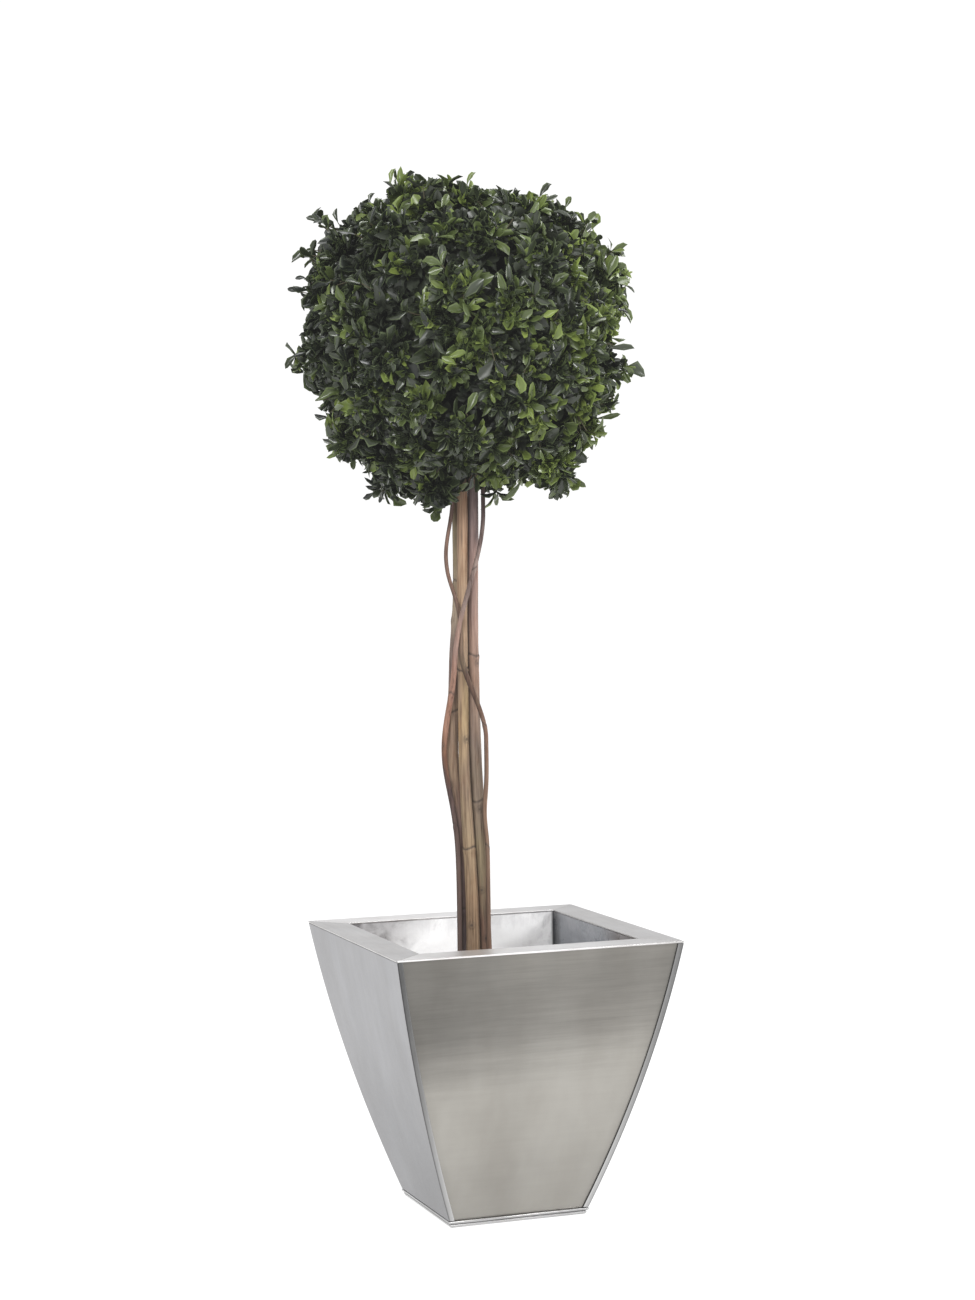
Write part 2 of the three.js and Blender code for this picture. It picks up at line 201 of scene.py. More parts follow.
SINGLE_PROUD = 4  # how far a single leaf's middle stands out at least
SHADE_DEPTH = 24  # under the clipped outline, where leaves begin to have the tone of shaded ones

ROSETTE_LEAST = 8  # leaves round a shoot's tip
ROSETTE_MORE = 4  # and fewer than this many more
ROSETTE_DEPTH = 6  # from the innermost leaf to the outermost
LEAF_LENGTH = 25
LEAF_INNER = 0.6  # length of a shoot's innermost leaf, as a share
LEAF_NARROW = 0.27  # width as a share of the length, and how much it varies
LEAF_WIDER = 0.22
LEAF_ROUND = 0.22  # what the roundest leaves gain
LEAF_CUP = 0.36  # how far the margins curl up, as a share of the width
LEAF_HOLLOW = 1.7  # the power by which it curls: 1 folds it in a V, 2 makes it a trough
LEAF_WAVE = 0.14  # how far they ripple
LEAF_RIPPLES = 9  # how fast, in radians along a leaf
LEAF_ROLL = 2  # how much a leaf may roll about its length, in radians
LEAF_BEND = 0.95  # how much its droop varies, as a share of its length
LEAF_STRAIGHT = 0.3  # the share of its length where its twist is nothing
LEAF_TWIST = 1.5  # how much a leaf may turn along its length, in radians
LEAF_HELD = 0.5  # the share of a leaf's length that stays inside the outline
LEAF_STRAY = (-5, 9)  # how far that share may stand out of it, from the least to the most
LEAF_LEANS = (0.3, 1.4)  # of the innermost and the outermost leaf, in radians
LEAN_TRIES = 3  # how often a leaf may lean further to stay inside the outline
MARGIN_HIGHLIGHT = 1.2  # a painted highlight: how much paler a leaf's margins are than its middle, and what they gain besides
MARGIN_HIGHLIGHT_GAINS = (0.040, 0.050, 0.022)
FINE_SEED = 29

# Single leaves that catch the eye or stand out at the ball's edge, on the side that the pot's front left
# corner shows: how far right and up from the ball's middle, the way they point in degrees, the length, the
# width and the tone.
SINGLE_LEAVES = [
    (62, -60, -80, 22, 14, "fresh"),
    (47, 126, 178, 25, 11, "slate"),
    (-6, -30, 15, 22, 9, "fresh"),
    (-14, -36, 150, 18, 9, "fresh"),
    (-138, 46, -75, 20, 11, "mid"),
    (96, 16, -160, 18, 8, "yellow"),
    (108, -2, -110, 20, 11, "fresh"),
    (10, -82, 60, 26, 11, "mid"),
    (185, -36, -14, 31, 19, "slate"),
    (182, 104, 32, 27, 9, "mid"),
    (-168, 142, 152, 22, 9, "dark"),
    (159, 139, 60, 20, 12, "fresh"),
    (191, 77, -10, 22, 11, "fresh"),
    (199, 60, -30, 15, 5, "slate"),
    (193, 31, -45, 26, 14, "mid"),
    (181, -14, 2, 32, 9, "slate"),
    (168, -59, -65, 18, 9, "dark"),
    (175, -70, 48, 16, 5, "mid"),
    (171, -92, 5, 30, 7, "mid"),
    (160, -107, -42, 22, 9, "mid"),
    (138, -116, -70, 17, 9, "dark"),
    (133, -138, -30, 25, 15, "slate"),
    (130, -167, -32, 31, 9, "mid"),
    (104, -178, -60, 22, 11, "dark"),
    (56, -176, -130, 30, 10, "mid"),
    (-41, -197, -160, 18, 8, "dark"),
    (-80, -186, -45, 23, 14, "mid"),
    (-114, -181, -150, 15, 8, "deep"),
    (-131, -143, -110, 14, 8, "mid"),
    (-150, -129, -155, 26, 6, "fresh"),
    (-152, -114, 175, 25, 8, "dark"),
    (-168, -87, 170, 18, 8, "deep"),
    (-155, -66, 25, 30, 12, "mid"),
    (-182, -48, -65, 25, 14, "dark"),
    (-203, -20, -145, 23, 10, "dark"),
    (-199, 63, 160, 15, 7, "deep"),
    (-190, 77, 170, 14, 6, "deep"),
    (-188, 105, -163, 30, 12, "slate"),
    (-147, 150, 100, 17, 8, "dark"),
    (-106, 170, 70, 14, 8, "dark"),
    (-81, 195, 80, 20, 8, "fresh"),
    (12, 192, 60, 17, 8, "fresh"),
    (100, 177, 50, 20, 10, "dark"),
    (127, 162, 60, 15, 8, "mid"),
]

# A leaf's outline from its stalk to its tip: the share of its length, and of its half width.
LEAF_OUTLINE = [(0, 0.1), (0.3, 0.5), (0.62, 1), (0.89, 0.66)]
LEAF_COLUMNS = (-1, -0.78, 0, 0.78, 1)  # across it, with its margins outside the second and the fourth
SHADED_COLUMNS = (-1, 0, 1)


def smooth(z, low, high):
    share = min(max((z - low) / (high - low), 0), 1)
    return share * share * (3 - 2 * share)


def bump(z, at, spread):
    return math.exp(-(((z - at) / spread) ** 2))


def between(ends, share):
    return ends[0] + (ends[1] - ends[0]) * share


def nearest(points, place):
    return min(points, key=lambda point: (point - place).length)


def seeded(seed):
    """A source of numbers from 0 to 1 (mulberry32), the same one as the solids use."""
    word = 0xFFFFFFFF
    state = seed

    def draw():
        nonlocal state
        state = (state + 0x6D2B79F5) & word
        t = state
        t = ((t ^ (t >> 15)) * (t | 1)) & word
        t ^= (t + (t ^ (t >> 7)) * (t | 61)) & word
        return (t ^ (t >> 14)) / 4294967296

    return draw


# ---------------------------------------------------------------- camera, light and floor

CAMERA_PLACE = Vector((-1.0754, -2.9320, 0.7846))  # in metres, as are the lights' places
CAMERA_TURNS = (20.167, 2.185, -0.773)  # to the right, down and about its own axis, in degrees
CAMERA_LENS = 72.73
CAMERA_SENSOR = 36
BACKDROP_SEEN = 1.05  # how strong the backdrop is for the camera
BACKDROP_LIGHT = 0.7  # and as light
BACKDROP_VEIL = 0.012  # the light that a white backdrop spreads over the dark parts of a picture
FLOOR_GLOW = 0.93
FLOOR_DROP = 0.0005  # under the object, in metres
LIT_POINT = Vector((0, 0, 0.75))  # which the lights are turned to
LIGHTS = [  # name, place, size and power
    ("key", (-1.9, -2.8, 2.6), 1.5, 95),
    ("fill", (2.6, -1.8, 2.2), 1.4, 95),
    ("top", (0.2, 0.5, 3.4), 2.2, 60),
]


def add_camera():
    """At the photograph's place, height and angle."""
    yaw, pitch, roll = (math.radians(angle) for angle in CAMERA_TURNS)
    ahead = Vector((math.sin(yaw) * math.cos(pitch), math.cos(yaw) * math.cos(pitch), -math.sin(pitch)))
    right = Vector((math.cos(yaw), -math.sin(yaw), 0))
    up = right.cross(ahead)
    rolled_right = math.cos(roll) * right + math.sin(roll) * up
    rolled_up = math.cos(roll) * up - math.sin(roll) * right
    data = bpy.data.cameras.new("camera")
    data.lens = CAMERA_LENS
    data.sensor_width = CAMERA_SENSOR
    camera = bpy.data.objects.new("camera", data)
    camera.matrix_world = Matrix((rolled_right, rolled_up, -ahead)).transposed().to_4x4()
    camera.location = CAMERA_PLACE
    bpy.context.collection.objects.link(camera)
    bpy.context.scene.camera = camera


def add_light(name, place, size, power):
    data = bpy.data.lights.new(name, "AREA")
    data.size = size
    data.energy = power
    light = bpy.data.objects.new(name, data)
    light.location = place
    light.rotation_euler = (LIT_POINT - Vector(place)).to_track_quat("-Z", "Y").to_euler()
    bpy.context.collection.objects.link(light)


def add_node(tree, kind, inputs, output=0, **settings):
    """Adds a node and returns one of its outputs.

    Its inputs, by name or number, are numbers, vectors, colours or the outputs of other nodes.
    """
    node = tree.nodes.new(kind)
    for name, value in settings.items():
        setattr(node, name, value)
    for key, value in inputs.items():
        socket = node.inputs[key]
        if isinstance(value, bpy.types.NodeSocket):
            tree.links.new(value, socket)
        else:
            socket.default_value = (*value, 1) if socket.type == "RGBA" else value
    return node.outputs[output]


def add_world():
    """A white backdrop, which lights the object more softly than it looks."""
    world = bpy.data.worlds.new("studio")
    world.use_nodes = True
    tree = world.node_tree
    tree.nodes.clear()
    lit = add_node(tree, "ShaderNodeBackground", {"Color": (0.98, 0.985, 1), "Strength": BACKDROP_LIGHT})
    seen = add_node(tree, "ShaderNodeBackground", {"Color": (1, 1, 1), "Strength": BACKDROP_SEEN})
    by_camera = add_node(tree, "ShaderNodeLightPath", {}, "Is Camera Ray")
    mixed = add_node(tree, "ShaderNodeMixShader", {0: by_camera, 1: lit, 2: seen})
    tree.links.new(mixed, tree.nodes.new("ShaderNodeOutputWorld").inputs["Surface"])
    bpy.context.scene.world = world


def add_floor():
    """A white floor that runs into the backdrop."""
    bpy.ops.mesh.primitive_plane_add(size=40, location=(0, 0, -FLOOR_DROP))
    floor = bpy.context.object
    floor.name = "floor"
    sockets = {"Emission_Color": (1, 1, 1, 1), "Emission_Strength": FLOOR_GLOW}
    look = Look("floor_white", Base_Color=(0.15, 0.15, 0.15, 1), Roughness=0.9, **sockets)
    floor.data.materials.append(look.material)
    floor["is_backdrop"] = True


def add_studio():
    add_camera()
    add_world()
    add_floor()
    for light in LIGHTS:
        add_light(*light)
    settings = bpy.context.scene.view_settings
    settings.view_transform = "Standard"
    settings.use_curve_mapping = True
    settings.curve_mapping.black_level = (-BACKDROP_VEIL,) * 3


# ---------------------------------------------------------------- materials

NOISE_RANGE = (0.3, 0.7)  # which a noise seldom leaves


class Look:
    """A material, whose nodes are added to its Principled shader one call at a time.

    Places and distances are in metres.
    """

    def __init__(self, name, **sockets):
        self.material = bpy.data.materials.new(name)
        self.material.use_nodes = True
        self.tree = self.material.node_tree
        self.shader = self.tree.nodes["Principled BSDF"]
        for socket, value in sockets.items():
            self.shader.inputs[socket.replace("_", " ")].default_value = value

    def node(self, kind, inputs, output=0, **settings):
        return add_node(self.tree, kind, inputs, output, **settings)

    def place(self):
        return self.node("ShaderNodeTexCoord", {}, "Object")

    def axis(self, name):
        return self.node("ShaderNodeSeparateXYZ", {0: self.place()}, name)

    def distance(self, point):
        inputs = {0: self.place(), 1: point}
        return self.node("ShaderNodeVectorMath", inputs, "Value", operation="DISTANCE")

    def attribute(self, name):
        return self.node("ShaderNodeAttribute", {}, "Fac", attribute_name=name)

    def noise(self, scale, detail=4, roughness=0.55, distortion=0):
        """Noise over the piece, with its own scale along each axis, in features per metre."""
        place = self.node("ShaderNodeMapping", {"Vector": self.place(), "Scale": scale})
        inputs = {"Vector": place, "Scale": 1, "Detail": detail, "Roughness": roughness}
        return self.node("ShaderNodeTexNoise", {**inputs, "Distortion": distortion}, "Fac")

    def times(self, first, second):
        return self.node("ShaderNodeMath", {0: first, 1: second}, operation="MULTIPLY")

    def plus(self, first, second):
        return self.node("ShaderNodeMath", {0: first, 1: second}, operation="ADD")

    def both(self, first, second, share):
        """A share of the first noise, and the rest from the second."""
        return self.plus(self.times(first, share), self.times(second, 1 - share))

    def spread(self, source, low, high, new_low=0, new_high=1):
        inputs = {"Value": source, "From Min": low, "From Max": high, "To Min": new_low, "To Max": new_high}
        return self.node("ShaderNodeMapRange", inputs, "Result")

    def shifted(self, value, noise, by):
        """A value that a noise moves to and fro, at most by this much."""
        return self.plus(value, self.spread(noise, *NOISE_RANGE, -by, by))

    def ramp(self, source, stops):
        """Colours along a value: stops are (share, colour) or (share, level of grey)."""
        output = self.node("ShaderNodeValToRGB", {"Fac": source}, "Color")
        elements = output.node.color_ramp.elements
        while len(elements) < len(stops):
            elements.new(0.5)
        for element, (share, tone) in zip(elements, stops):
            element.position = share
            element.color = (*tone, 1) if isinstance(tone, tuple) else (tone, tone, tone, 1)
        return output

    def mix(self, factor, first, second, blend="MIX"):
        inputs = {0: factor, 6: first, 7: second}
        return self.node("ShaderNodeMix", inputs, 2, data_type="RGBA", blend_type=blend)

    def shaded(self, colour, by, strength=1):
        """A colour multiplied by another."""
        return self.mix(strength, colour, by, "MULTIPLY")

    def surface(self, colour, roughness, relief):
        """Links all that the surface needs, and returns the material.

        The roughness is a noise with its least and its most, the relief a noise, its strength and its depth.
        """
        noise, least, most = roughness
        height, strength, depth = relief
        bumps = {"Height": height, "Strength": strength, "Distance": depth}
        sources = {
            "Base Color": colour,
            "Roughness": self.spread(noise, *NOISE_RANGE, least, most),
            "Normal": self.node("ShaderNodeBump", bumps),
        }
        for socket, source in sources.items():
            self.tree.links.new(source, self.shader.inputs[socket])
        return self.material


# Brush lines, in features per metre along and across them.
FINE_LINES = (16, 900)
BROAD_LINES = (12, 190)
SWEEPS = (5, 70)
UPPER_PART = (0.16, 0.25)  # the heights between which a panel's upper part begins, in metres
TONE_CLOUDS = 0.006  # how far the tones' heights wander with the clouds, and with the sweeps
TONE_SWEEPS = 0.012
# how steeply the painted reflection's tones slope up to the right
TONE_SLOPE = 0.14
LOWER_LINES = 0.25  # how strong the lines are in a panel's lower part, as a share


def brushed(scales, direction):
    """The scale of brush lines that run along X, Y or Z."""
    along, across = scales
    return tuple(along if axis == direction else across for axis in "XYZ")


def steel(name, tones, direction, tint=(1, 1, 1), streaks=0.07, across=None, edge=()):
    """Brushed stainless steel, whose tone changes with height as (height in mm, level) says: painted
    reflection and shade.

    Where across is given, its two levels change the upper part's tone from the left to the right, and
    the tones slope up to the right: painted reflection and shade. Edge holds the levels along the piece's
    attribute of that name: painted shade beside a panel's folds, and on a fold's outside a painted
    highlight and a painted dark line at its corner.
    """
    look = Look(name, Metallic=1)
    cloud = look.noise((9, 9, 6), detail=3)
    fine = look.noise(brushed(FINE_LINES, direction), detail=5, roughness=0.7)
    broad = look.noise(brushed(BROAD_LINES, direction), detail=4, roughness=0.7)
    sweep = look.noise(brushed(SWEEPS, direction), detail=4, roughness=0.6)
    height = look.shifted(look.shifted(look.axis("Z"), cloud, TONE_CLOUDS), sweep, TONE_SWEEPS)
    upper = look.spread(height, *UPPER_PART)
    line_strength = 1
    # across slopes the painted reflection's tones up to the right
    if across:
        height = look.plus(height, look.times(look.axis("X"), -TONE_SLOPE))
        line_strength = look.spread(upper, 0, 1, LOWER_LINES, 1)
    # the tones by height: a painted reflection and shade
    stops = [(z / POT_HEIGHT, tuple(level * part for part in tint)) for z, level in tones]
    colour = look.ramp(look.spread(height, 0, POT_HEIGHT * MM), stops)
    # and paints the upper part's reflection and shade from left to right
    if across:
        half = POT_TOP / 2 * MM
        side = look.spread(look.shifted(look.axis("X"), cloud, 0.03), -half, half)
        sides = look.ramp(side, [(0, across[0]), (0.5, 1), (1, across[1])])
        colour = look.mix(upper, colour, look.shaded(colour, sides))
    lines = look.both(fine, broad, 0.5)
    shades = look.ramp(lines, [(0.3, 1 - streaks), (0.5, 1), (0.72, 1 + streaks)])
    colour = look.shaded(colour, shades, line_strength)
    # painted shade beside the folds, and a painted highlight and dark corner line on a fold
    if edge:
        colour = look.shaded(colour, look.ramp(look.attribute("edge"), edge))
    colour = look.shaded(colour, look.ramp(cloud, [(0.35, 0.95), (0.62, 1.05)]))
    stains = look.noise((16, 16, 5), detail=5)
    colour = look.shaded(colour, look.ramp(stains, [(0.35, (0.93, 0.921, 0.911)), (0.62, 1.03)]))
    return look.surface(colour, (fine, 0.3, 0.42), (lines, 0.12, 0.0006))


def shaded_wall(look, wall):
    """The liner's right wall, painted in shade: a smeared dark blue-grey, darker still near its back
    corner, and brown at its front's top.
    """
    smear = look.noise((18, 18, 40), detail=3)
    colour = look.ramp(smear, [(0.34, (0.22, 0.235, 0.26)), (0.64, (0.3, 0.315, 0.345))])
    # painted shade, deepest near the back corner
    to_back = look.spread(look.axis("Y"), wall - 0.1, wall)
    colour = look.shaded(colour, look.ramp(to_back, [(0, 1.1), (0.75, 0.85), (0.83, 0.4), (0.93, 0.2)]))
    brown = look.times(look.spread(look.axis("Y"), -0.02, -0.07), look.spread(look.axis("Z"), 0.3, 0.32))
    return look.mix(brown, colour, (0.13, 0.112, 0.11))


def galvanised(name):
    """The liner's bright crumpled sheet, with painted shade on its right wall and along its top under the
    rim, and a painted reflection and shade in its back left corner.
    """
    look = Look(name, Metallic=0)
    wall = LINER_HALF * MM
    crumple = look.noise((34, 34, 34), detail=6, roughness=0.6, distortion=0.6)
    scratch = look.noise((150, 150, 26), detail=6, roughness=0.7)
    mottled = look.both(crumple, scratch, 0.65)
    bright = look.ramp(mottled, [(0.34, (0.86, 0.843, 0.86)), (0.42, 0.98), (0.6, 1)])
    # the right wall is painted in shade
    right = (wall - 0.004, wall - 0.001)
    colour = look.mix(look.spread(look.axis("X"), *right), bright, shaded_wall(look, wall))
    corner = look.distance((-wall, wall, POT_HEIGHT * MM))
    # a painted reflection of the left rim strip and its shade, greying the back wall near its left top
    # corner
    corner_shading = look.ramp(crumple, [(0.4, (0.2, 0.19, 0.19)), (0.6, (0.46, 0.45, 0.45))])
    shading_reach = look.shifted(corner, crumple, 0.012)
    colour = look.mix(look.spread(shading_reach, 0.062, 0.11, 0.92, 0), colour, corner_shading)
    # grey mottling on the back wall towards its right end, stopping at the right wall
    uneven = look.times(look.spread(look.axis("X"), 0.09, 0.12), look.spread(crumple, 0.46, 0.6, 0, 0.5))
    uneven = look.times(uneven, look.spread(look.axis("X"), *right, 1, 0))
    colour = look.mix(uneven, colour, (0.5, 0.49, 0.51))
    # a small painted dark spot: the shade in a gap at the back left corner's seam
    colour = look.mix(look.spread(corner, 0.014, 0.02, 0.95, 0), colour, (0.04, 0.03, 0.03))
    # painted shade along the top of the walls, under the rim
    height = look.plus(look.axis("Z"), look.spread(mottled, 0.4, 0.6, -0.012, 0.012))
    colour = look.mix(look.spread(height, 0.314, 0.33, 0, 0.3), colour, (0.45, 0.44, 0.45))
    return look.surface(colour, (crumple, 0.2, 0.45), (mottled, 0.5, 0.0025))


def bark(name, tones):
    """Dry bark or peeled cane, whose colour changes with height as (height in mm, colour) says. On a stem
    these colours hold painted light and shade as well, and its dark attribute adds the dark of rings and
    knots and painted shade.
    """
    look = Look(name, Specular_IOR_Level=0.35)
    grain = look.noise((420, 420, 14), detail=6, roughness=0.65, distortion=0.2)
    fibre = look.noise((900, 900, 30))
    patch = look.noise((60, 60, 16))
    share = look.spread(look.axis("Z"), FILL_TOP * MM, STEM_TOP * MM)
    stops = [((z - FILL_TOP) / (STEM_TOP - FILL_TOP), tone) for z, tone in tones]
    colour = look.ramp(look.shifted(share, patch, 0.07), stops)
    colour = look.shaded(colour, look.ramp(grain, [(0.36, 1.12), (0.5, 1), (0.66, (0.55, 0.495, 0.473))]))
    colour = look.shaded(colour, look.ramp(fibre, [(0.4, 1.08), (0.6, 0.86)]))
    stain = look.spread(look.noise((110, 110, 34), detail=5), 0.55, 0.7, 0, 0.45)
    colour = look.mix(stain, colour, look.shaded(colour, (0.8, 0.62, 0.5)))
    # the dark of rings and knots, with painted shade in grooves and hollows and on shaded sides
    colour = look.mix(look.attribute("dark"), colour, (0.045, 0.032, 0.026))
    return look.surface(colour, (grain, 0.6, 0.85), (grain, 0.5, 0.0008))


def earth(name, *tones):
    """Soil or bark chips in three tones, from dark to pale."""
    look = Look(name, Specular_IOR_Level=0.25)
    clod = look.noise((95, 95, 95), detail=8, roughness=0.7)
    colour = look.ramp(clod, list(zip((0.35, 0.5, 0.68), tones)))
    return look.surface(colour, (clod, 0.8, 1), (clod, 0.8, 0.003))


def leaf_green(name, colour, roughness, gloss):
    """A waxy leaf. Its colour is plain, because the leaves' colours are dealt out by shoot."""
    return Look(name, Base_Color=(*colour, 1), Roughness=roughness, Specular_IOR_Level=gloss).material


# ---------------------------------------------------------------- pieces


def add_piece(name, points, faces, material, slot, replaced=(), sharp=40):
    """A piece from points in millimetres. Edges sharper than the angle in degrees stay sharp."""
    mesh = bpy.data.meshes.new(name)
    mesh.from_pydata((np.asarray(points, dtype=float) * MM).tolist(), [], faces)
    mesh.shade_smooth()
    if sharp:
        mesh.set_sharp_from_angle(angle=math.radians(sharp))
    mesh.materials.append(material)
    piece = bpy.data.objects.new(name, mesh)
    bpy.context.collection.objects.link(piece)
    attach(piece, "root")
    if replaced:
        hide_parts(*replaced)
    return piece


def mark_points(piece, name, values):
    """Gives each point a number, which a material reads by its name."""
    piece.data.attributes.new(name, "FLOAT", "POINT").data.foreach_set("value", values)


def round_edges(piece, width):
    bevel = piece.modifiers.new("rounded", "BEVEL")
    bevel.width = width * MM
    bevel.segments = 2
    bevel.limit_method = "ANGLE"
    bevel.angle_limit = math.radians(40)
    bevel.harden_normals = True


def loft(rings):
    """The closed surface through a row of rings with equal counts, capped at both ends."""
    count = len(rings[0])
    points = [point for ring in rings for point in ring]
    faces = []
    for row in range(len(rings) - 1):
        for i in range(count):
            a = row * count + i
            b = row * count + (i + 1) % count
            faces.append((a, b, b + count, a + count))
    last = (len(rings) - 1) * count
    faces.append(tuple(reversed(range(count))))
    faces.append(tuple(range(last, last + count)))
    return points, faces


def turned(points, turns):
    """Points turned about the pot's axis by quarter turns."""
    spin = Matrix.Rotation(turns * math.pi / 2, 3, "Z")
    return [spin @ Vector(point) for point in points]


def rough(point, wide, tall):
    """Noise at a point, whose features are about this wide and tall."""
    return noise.noise(Vector((point[0] / wide, point[1] / wide, point[2] / tall)))


# ---------------------------------------------------------------- pot

PANEL_STEPS = 48
FOLD_FACES = (1, 7)  # the faces between a side sheet's corners that lie on its folds' outside
FOLD_CORNERS = (0, 1)  # the corners of its outline that are marked as its edge
FACE_CORNERS = (1, 2)  # and those of a front or back sheet's
LINER_HALF = POT_TOP / 2 - RIM_WIDTH  # from the pot's axis to the liner's inside
LINER_STEPS = (40, 16)  # along a wall and down it
LINER_HIDDEN = 10  # how far the crumpled part goes on under the soil
LINER_DENT = 0.9
SOIL_CELLS = 90
CLOD_HEIGHT = 1.6
CRUMBS = 900
CRUMB_SEED = 5
CRUMB_SIZES = (1.5, 3.5)  # the least, and how much more a crumb may have
CRUMB_ROOM = 6  # to the liner
STEMS_ROOM = 34  # and to the stems' middle
BOX_FACES = [(0, 2, 3, 1), (4, 5, 7, 6), (0, 1, 5, 4), (2, 6, 7, 3), (0, 4, 6, 2), (1, 3, 7, 5)]


def pot_half(z):
    """Half of the pot's outer width at a height."""
    share = z / POT_HEIGHT
    return (POT_FOOT + (POT_TOP - POT_FOOT) * share + PANEL_BULGE * share * (1 - share)) / 2


def panel_levels():
    bottom = BASE_LIP + CLEAR
    top = POT_HEIGHT - SHEET - CLEAR
    return [bottom + (top - bottom) * i / PANEL_STEPS for i in range(PANEL_STEPS + 1)]


def side_panel(z):
    """The outline of a side sheet at a height, with its front and back edges folded in."""
    out = pot_half(z)
    inner = out - SHEET
    fold = out - FOLD
    outline = [
        (out, -out), (out, out), (fold, out), (fold, inner),
        (inner, inner), (inner, -inner), (fold, -inner), (fold, -out),
    ]
    return [(x, y, z) for x, y in outline]


def face_panel(z):
    half = pot_half(z) - SHEET - CLEAR
    return [(-half, -half, z), (half, -half, z), (half, -half + SHEET, z), (-half, -half + SHEET, z)]


def square(z, half):
    return [(-half, -half, z), (half, -half, z), (half, half, z), (-half, half, z)]


def add_panel(name, turns, outline, edge_corners, look, slot, rounding):
    """A curved sheet from its outline at each height, turned to its side of the pot."""
    points, faces = loft([outline(z) for z in panel_levels()])
    panel = add_piece(name + "_sheet", turned(points, turns), faces, look, slot, [name])
    corners = len(outline(0))
    mark_points(panel, "edge", [float(i % corners in edge_corners) for i in range(len(points))])
    round_edges(panel, rounding)
    return panel


def add_panels():
    # The face's tones by height paint its reflection: lighter low down, with a dark band near the top. Its
    # across levels paint its upper part darker on the left, and its edge levels paint shade beside the
    # folds.
    face = steel(
        "steel_face",
        [(0, 0.33), (50, 0.34), (110, 0.37), (165, 0.38), (200, 0.325), (228, 0.254), (255, 0.222),
         (280, 0.21), (330, 0.238)],
        "X",
        tint=(1, 0.962, 0.885),
        streaks=0.13,
        across=(0.66, 1.08),
        edge=[(0, 0.86), (0.025, 0.95), (0.06, 1), (0.93, 1), (0.97, 0.93), (1, 0.78)],
    )
    # The sides' tones paint a reflection that darkens towards the bottom.
    side_tones = [(0, 0.235), (90, 0.25), (170, 0.295), (330, 0.345)]
    side = steel("steel_side", side_tones, "Z", tint=(1, 1, 1.035), streaks=0.1)
    # The folds' tones paint a reflection that is lighter at the bottom; across darkens the left fold's upper
    # part, and the edge levels paint a highlight and a dark line at the corner.
    folded = steel(
        "steel_fold",
        [(0, 0.5), (90, 0.4), (190, 0.25), (330, 0.18)],
        "Z",
        streaks=0.2,
        across=(0.62, 1.1),
        edge=[(0, 1.3), (0.3, 1), (0.7, 0.9), (0.92, 0.4)],
    )
    for name, turns in (("pot_right_panel", 0), ("pot_left_panel", 2)):
        panel = add_panel(name, turns, side_panel, FOLD_CORNERS, side, "pot_side", 0.9)
        panel.data.materials.append(folded)
        corners = len(side_panel(0))
        for i in range(PANEL_STEPS * corners):
            panel.data.polygons[i].material_index = int(i % corners in FOLD_FACES)
    for name, turns in (("pot_front_panel", 0), ("pot_back_panel", 2)):
        add_panel(name, turns, face_panel, FACE_CORNERS, face, "pot_face", 0.5)


def add_rim():
    """Four mitred strips, whose brush lines run along them. Painted reflection makes the strips along X
    lighter than those along Y, and painted shade darkens them towards the pot's right.
    """
    out = POT_TOP / 2
    inner = LINER_HALF
    outline = [(-out + CLEAR, -out), (out - CLEAR, -out), (inner - CLEAR, -inner), (-inner + CLEAR, -inner)]
    points, faces = loft([[(x, y, z) for x, y in outline] for z in (POT_HEIGHT - SHEET, POT_HEIGHT)])
    # their levels and across paint the strips' reflection and shade
    looks = [
        steel(name, [(0, level), (POT_HEIGHT, level)], direction, (1, 0.985, 0.975), 0.1, across)
        for name, direction, level, across in (
            ("steel_rim_x", "X", 0.9, (1, 0.72)),
            ("steel_rim_y", "Y", 0.64, (1.02, 0.98)),
        )
    ]
    for turns, side in enumerate(("front", "right", "back", "left")):
        name = "pot_rim_" + side
        strip = add_piece(name + "_sheet", turned(points, turns), faces, looks[turns % 2], "pot_rim", [name])
        round_edges(strip, 0.6)


def add_base():
    """The tray's upstand is hemmed: two beads with a groove between them."""
    profile = [
        (0, -0.5), (0.5, 0), (2.8, 0.2), (3.3, -0.1), (3.7, -1.1), (4.4, -1.1), (4.8, 0.3),
        (5.4, 0.8), (6.8, 0.8), (7.6, 0.3), (8, -0.6),
    ]
    rings = [square(z, pot_half(z) + proud) for z, proud in profile]
    rings += [square(BASE_LIP, pot_half(BASE_LIP) - 3), square(3, pot_half(0) - 3)]
    points, faces = loft(rings)
    look = steel("steel_base", [(0, 0.52), (POT_HEIGHT, 0.52)], "X", streaks=0.12)
    add_piece("pot_base_hem", points, faces, look, "pot_side", ["pot_base_tray"], sharp=60)


def side_points(half, count):
    """A square ring of points, with some along each side."""
    corners = [(-half, -half), (half, -half), (half, half), (-half, half)]
    ring = []
    for (ax, ay), (bx, by) in zip(corners, corners[1:] + corners[:1]):
        for i in range(count):
            share = i / count
            ring.append((ax + (bx - ax) * share, ay + (by - ay) * share))
    return ring


def crumpled(x, y, z):
    """A point of the liner's wall, pushed in by the sheet's buckles."""
    buckle = rough((x, y, z), 26, 17) + 0.5 * rough((x, y, z), 9, 8)
    dent = LINER_DENT * min(max(buckle + 0.1, 0), 1)
    return x * (1 - dent / LINER_HALF), y * (1 - dent / LINER_HALF), z


